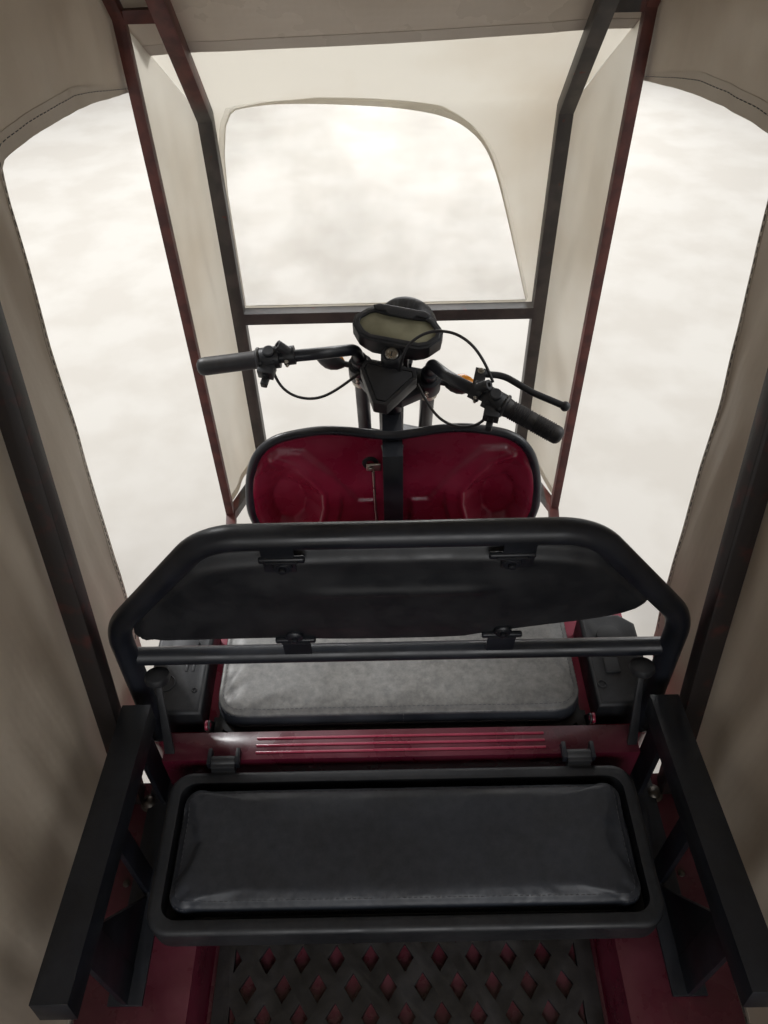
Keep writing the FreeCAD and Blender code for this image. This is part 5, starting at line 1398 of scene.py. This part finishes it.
class RICKSHAW_OT_handlebar_parts(bpy.types.Operator):
    """Turns the grips, and adds the bolts of the lever and the fork and the details of the switch blocks"""

    bl_idname = "rickshaw.handlebar_parts"
    bl_label = "Grips and hand controls"

    def execute(self, context):
        end = Vector((324, -120, 858))
        line = (end - Vector((212, -84, 868))).normalized()
        grip_from = end - line * 108
        plain = [(0, 0), (0, 21), (2.5, 22), (5, 21), (7, 17.4), (14, 16.2), (100, 16.6), (108, 16),
                 (112.5, 13.5), (115.5, 9), (116.5, 4), (116.5, 0)]
        ribbed = plain[:6]
        for first, last in ((16, 52), (62, 98)):
            for d in range(first, last, 4):
                ribbed += [(d, 15.7), (d + 0.8, 17.1), (d + 2.2, 17.1), (d + 3, 15.7)]
            ribbed.append((last + 2, 16.4))
        ribbed += plain[7:]

        def on_side(point, side):
            return Vector((side * point.x, point.y, point.z))

        for name, side, profile in (("left_grip", -1, plain), ("right_grip", 1, ribbed)):
            grip = turned(name, profile, on_side(grip_from, side) * MM, on_side(line, side), 40)
            fit(placed(grip, STEERING), "rubber", "steering")
        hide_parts("hand_grips")

        # Places along the bars: the switch blocks, the lever's clamp and its pivot
        block_mid = grip_from - line * 18
        clamp_mid = grip_from - line * 53
        small = []
        for side in (-1, 1):
            block = on_side(block_mid, side) * MM
            small.append(turned("switch_cap", [(0, 0), (0, 10.5), (3, 11.5), (7.5, 11), (9, 9), (9, 0)],
                                on_side(block_mid + Vector((0, 0, 16)), side) * MM, (0, 0, 1), 32))
            for run in (-11, 11):
                spot = on_side(block_mid + line * run + Vector((0, -18, 12)), side) * MM
                small.append(turned("switch_screw", [(0, 0), (0, 3.2), (1.6, 3), (2.2, 2), (2.2, 0)],
                                    spot, (0, -0.5, 0.85), 16))
            small.append(rounded_block("switch_lug", block + Vector((-0.006, -0.052, -0.02)),
                                       block + Vector((0.006, -0.03, -0.006)), 2.5 * MM, 3, 50))
            small.append(turned("switch_button", [(0, 0), (0, 5.5), (3, 5.5), (4, 4.5), (4, 0)],
                                on_side(block_mid + Vector((0, -36, -2)), side) * MM, (0, -1, 0.15), 24))
        fit(placed(joined("switch_details", small), STEERING), "plastic", "steering")

        bright = []
        for side in (-1, 1):
            for rise in (-6, 6):
                spot = on_side(clamp_mid + Vector((0, -16, rise)), side) * MM
                bright.append(hex_bolt("clamp_bolt", spot, (0, -1, 0), 5, 3, 3.4))
        bright.append(hex_bolt("lever_pivot", (clamp_mid + Vector((0, 36, 10))) * MM, (0, 0, 1), 7, 3.5, 5.5))
        collar = [(0, 15.2), (0, 19), (1.5, 20.2), (14.5, 20.2), (16, 19), (16, 15.2), (0, 15.2)]
        for x in (-70, 70):
            bright.append(turned("fork_collar", collar, mm(x, 30, 668), (0, 0, 1), 40))
            for z in (709, 697):
                bright.append(hex_bolt("bridge_bolt", mm(x, 6, z), (0, -1, 0), 6, 4, 5))
        fit(placed(joined("bright_fasteners", bright), STEERING), "steel", "steering")
        return {"FINISHED"}


def level(outline, z, scale=1, shift=0):
    """An outline in millimetres as points in metres, all at one height."""
    return [(x * scale * MM, (y * scale + shift) * MM, z * MM) for x, y in outline]


class RICKSHAW_OT_instruments(bpy.types.Operator):
    """Moulds the instrument pod with its bezel, the cover over the stem and the lock beside it"""

    bl_idname = "rickshaw.instruments"
    bl_label = "Instrument pod and stem cover"

    def execute(self, context):
        outline = [(-48, 18), (48, 18), (68, 26), (86, 48), (86, 68), (66, 90), (50, 97), (30, 94), (-30, 94),
                   (-50, 97), (-66, 90), (-86, 68), (-86, 48), (-68, 26)]
        pod = self.housing("pod_case", level(outline, 786, 0.86, 8), 16, (1.163, 1.163, 1), 57,
                           ((5, 3), (8, -7)), 2.6)
        stalk = rounded_block("pod_stalk", (-0.026, 0.03, 0.7155), (0.026, 0.052, 0.79), 3 * MM, 3)
        # The brow that shades the top of the glass, with a dip at its middle
        brow = slab("pod_brow", level([(-56, 94), (-48, 84), (-30, 86), (-22, 78), (22, 78), (30, 86), (48, 84),
                                       (56, 94), (44, 100), (-44, 100)], 835), (0, 0, 7 * MM))
        round_edges(brow, 2.4 * MM, 3)
        case = placed(joined("pod_case", [pod, stalk, brow]), STEERING)
        fit(case, "plastic", "steering", ("instrument_pod",))

        glass = slab("pod_glass", level(outline, 829.6, 0.86, 8), (0, 0, 2.4 * MM))
        round_edges(glass, 0.8 * MM)
        fit(placed(glass, STEERING), "display", "steering", ("instrument_screen",))

        plan = [(-11, -88), (11, -88), (46, -25), (40, -8), (-40, -8), (-46, -25)]
        cover = self.housing("cover_body", level(plan, 758), 10, (1.2, 1.12, 1), -48,
                             ((7, -2.4), (1.8, 3.4)), 1.6)
        post = rounded_block("cover_post", (-0.024, -0.026, 0.7155), (0.024, 0.024, 0.762), 2 * MM)
        fit(placed(joined("stem_cover_body", [cover, post]), STEERING), "plastic", "steering",
            ("stem_cover",))

        lean = (0, -0.05, 1)
        boss = turned("lock_boss", [(0, 0), (0, 21.5), (30, 20.5), (34, 18.5), (36, 16.5), (34, 14.5), (34, 0)],
                      mm(0, 8, 786), lean)
        fit(placed(boss, STEERING), "plastic", "steering")
        barrel = turned("lock_barrel", [(0, 0), (0, 12.5), (3.5, 12.5), (5, 11.2), (5, 7.6), (3.6, 6.6),
                                        (3.6, 0)], mm(0, 6.4, 818.5), lean)
        slot = add_block("key_slot", (-0.0012, 0.0016, 0.8225), (0.0012, 0.0104, 0.8229))
        fit(placed(slot, STEERING), "plastic", "steering")
        fit(placed(barrel, STEERING), "steel", "steering")
        return {"FINISHED"}

    def housing(self, name, points, foot, spread, middle, rims, width):
        """A moulded housing: a foot that spreads, upright walls of 32 mm, and a stepped rim on top."""
        body = add_outline(name, points)
        edit(body)
        extrude((0, 0, foot * MM))
        bpy.ops.transform.resize(value=spread, center_override=(0, middle * MM, 0))
        extrude((0, 0, 32 * MM))
        for rim, rise in rims:
            bpy.ops.mesh.inset(thickness=rim * MM)
            extrude((0, 0, rise * MM))
        done()
        round_edges(body, width * MM, 3, 25)
        return body


class RICKSHAW_OT_turn_signals(bpy.types.Operator):
    """Turns the four-sided drops of the turn signals, each with its amber front"""

    bl_idname = "rickshaw.turn_signals"
    bl_label = "Turn signals"

    def execute(self, context):
        drop = [(0, 0), (0, 6), (4, 9), (12, 14.5), (24, 18.5), (36, 18.8), (48, 14.5), (58, 8.5), (64, 3.5),
                (65, 0)]
        housings, lenses = [], []
        for side in (-1, 1):
            for part, keep_rear in (("housing", True), ("lens", False)):
                size = 1 if keep_rear else 0.96
                piece = turned("signal_" + part, [(d, r * size) for d, r in drop],
                               mm(side * 104, 32, 712), (side, 0.12, 0.04), 36)
                edit(piece)
                bpy.ops.mesh.bisect(plane_co=(0, (38 if keep_rear else 37.5) * MM, 0), plane_no=(0, 1, 0),
                                    use_fill=True, clear_outer=keep_rear, clear_inner=not keep_rear)
                done()
                if not keep_rear:
                    joint = Vector((0, 37.5 * MM, 0))
                    piece.data.transform(Matrix.Translation(joint) @ Matrix.Scale(1.35, 4, (0, 1, 0))
                                         @ Matrix.Translation(-joint))
                round_edges(piece, 1 * MM, 2, 50)
                (housings if keep_rear else lenses).append(placed(piece, STEERING))
            stalk = turned("signal_stalk", [(0, 0), (0, 7), (4, 6.2), (13, 6.2), (16, 8), (16, 0)],
                           mm(side * 92, 34, 712), (side, 0, 0), 24)
            housings.append(placed(stalk, STEERING))
        fit(joined("signal_housings", housings), "plastic", "steering", ("turn_signals",))
        fit(joined("signal_lenses", lenses), "amber_lens", "steering", ("turn_lenses",))
        return {"FINISHED"}


class RICKSHAW_OT_cables(bpy.types.Operator):
    """Lays the switch cables and the brake cable between the hand controls and the stem"""

    bl_idname = "rickshaw.cables"
    bl_label = "Control cables"

    def execute(self, context):
        routes = {
            "left_switch_cable": [(-205, -82, 847), (-201, -92, 816), (-170, -106, 790), (-124, -98, 778),
                                  (-86, -64, 778), (-57, -24, 782)],
            "brake_cable": [(196, -50, 876), (170, -20, 906), (120, 10, 918), (66, 14, 904), (30, 2, 866),
                            (22, -8, 826), (20, -14, 801)],
            "right_switch_cable": [(205, -82, 847), (198, -96, 822), (168, -108, 800), (124, -100, 788),
                                   (86, -66, 782), (57, -24, 782)],
        }
        for i, (name, route) in enumerate(routes.items()):
            cable = cable_curve(name, [steer(*point) for point in route], 2.7)
            fit(cable, "rubber", "steering", () if i else ("control_cables",), 60)
        return {"FINISHED"}


class RICKSHAW_OT_tub_fittings(bpy.types.Operator):
    """Adds the bolts, the ribs on the cross panel, the console slots and the buffers on their stays"""

    bl_idname = "rickshaw.tub_fittings"
    bl_label = "Bolts and small fittings"

    def execute(self, context):
        bolts = []
        for side in (-1, 1):
            for station in (380, 450, 530):
                bolts.append(hex_bolt("bracket_bolt", at(side * 338, station, LEDGE + 5), (0, 0, 1), 8, 4, 7))
            for station in (-380, -120, 120):
                bolts.append(hex_bolt("ledge_bolt", at(side * 384, station, LEDGE), (0, 0, 1), 8, 4, 8))
            for x, station in ((side * 421, 478), (side * 423, 439)):
                bolts.append(hex_bolt("side_bolt", at(x, station, LEDGE), (0, 0, 1), 7, 3, 5))
            dome = [(0, 0), (0, 15), (1.5, 15.5), (3, 11), (7, 9), (9.5, 5), (10.2, 0)]
            bolts.append(turned("dome_bolt", dome, at(side * 412, 565, LEDGE), (0, 0, 1), 32))
        fit(joined("tub_bolts", bolts), "steel_dull", "root")
        ribs = [rounded_block("flange_rib_%d" % i, at(-226, station, 699.5), at(226, station + 4, 702.2),
                              1.1 * MM) for i, station in enumerate((588, 600, 612))]
        fit(joined("flange_ribs", ribs), "maroon", "root")
        fittings = [rounded_block("console_slot_%d" % i, at(x - 2.5, 728, 719.5), at(x + 2.5, 757, 721),
                                  0.8 * MM) for i, x in enumerate((-353, -342))]
        # A round cup with a raised rim on the left console, a key ring and a cap on the right one
        cups = (("cup_rim", (-384, 706), 17), ("key_rim", (330, 688), 8), ("screw_rim", (-334, 692), 5))
        for name, (x, station), radius in cups:
            steps = ((0, -3), (0, 0), (2, -0.6), (2.6, -1.5), (2, -2.4), (0, -3))
            fittings.append(turned(name, [(d, radius + change) for d, change in steps],
                                   at(x, station, 719.6), (0, 0, 1), 40))
        fittings.append(rounded_block("console_cap", at(340, 708, 719), at(366, 738, 725), 4 * MM, 4, 50))
        # Tapered stays at the flange's ends, each with a round rubber buffer on top
        for side in (-1, 1):
            stay = slab("buffer_stay", [at(side * 352, 590, 700), at(side * 368, 590, 700),
                                        at(side * 361, 634, 832), at(side * 353, 634, 832)], (0, 5 * MM, 0))
            round_edges(stay, 1.5 * MM)
            buffer = turned("rubber_buffer", [(0, 0), (0, 8), (6, 9), (8, 17), (13, 19), (20, 17.5), (23, 13),
                                              (23.5, 0)], at(side * 357, 636, 826), (0, 0.25, 1), 40)
            fittings += [stay, buffer]
        fit(joined("console_fittings", fittings), "plastic", "root")
        return {"FINISHED"}


CLASSES = [
    RickshawFinishes, RickshawSizes, RICKSHAW_OT_stage, RICKSHAW_OT_rigid_pieces, RICKSHAW_OT_roof,
    RICKSHAW_OT_sides, RICKSHAW_OT_front, RICKSHAW_OT_corners, RICKSHAW_OT_leg_shield,
    RICKSHAW_OT_seat_cushions, RICKSHAW_OT_backrest, RICKSHAW_OT_tyres, RICKSHAW_OT_handlebar_parts,
    RICKSHAW_OT_instruments, RICKSHAW_OT_turn_signals, RICKSHAW_OT_cables, RICKSHAW_OT_tub_fittings,
]


class RICKSHAW_PT_panel(bpy.types.Panel):
    """Lists the steps in the sidebar"""

    bl_idname = "RICKSHAW_PT_panel"
    bl_label = "Rickshaw"
    bl_space_type = "VIEW_3D"
    bl_region_type = "UI"
    bl_category = "Rickshaw"

    def draw(self, context):
        for cls in CLASSES:
            if issubclass(cls, bpy.types.Operator):
                self.layout.operator(cls.bl_idname)


def register():
    for cls in CLASSES + [RICKSHAW_PT_panel]:
        bpy.utils.register_class(cls)
    bpy.types.Scene.rickshaw_finishes = PointerProperty(type=RickshawFinishes)
    bpy.types.Scene.rickshaw_sizes = PointerProperty(type=RickshawSizes)


def unregister():
    del bpy.types.Scene.rickshaw_sizes
    del bpy.types.Scene.rickshaw_finishes
    for cls in reversed(CLASSES + [RICKSHAW_PT_panel]):
        bpy.utils.unregister_class(cls)


def main():
    register()
    FINISH.update(make_finishes())
    for name in ("stage", "rigid_pieces", "roof", "sides", "front", "corners", "leg_shield",
                 "seat_cushions", "backrest", "tyres", "handlebar_parts", "instruments", "turn_signals",
                 "cables", "tub_fittings"):
        getattr(bpy.ops.rickshaw, name)()


if __name__ == "__main__":
    main()
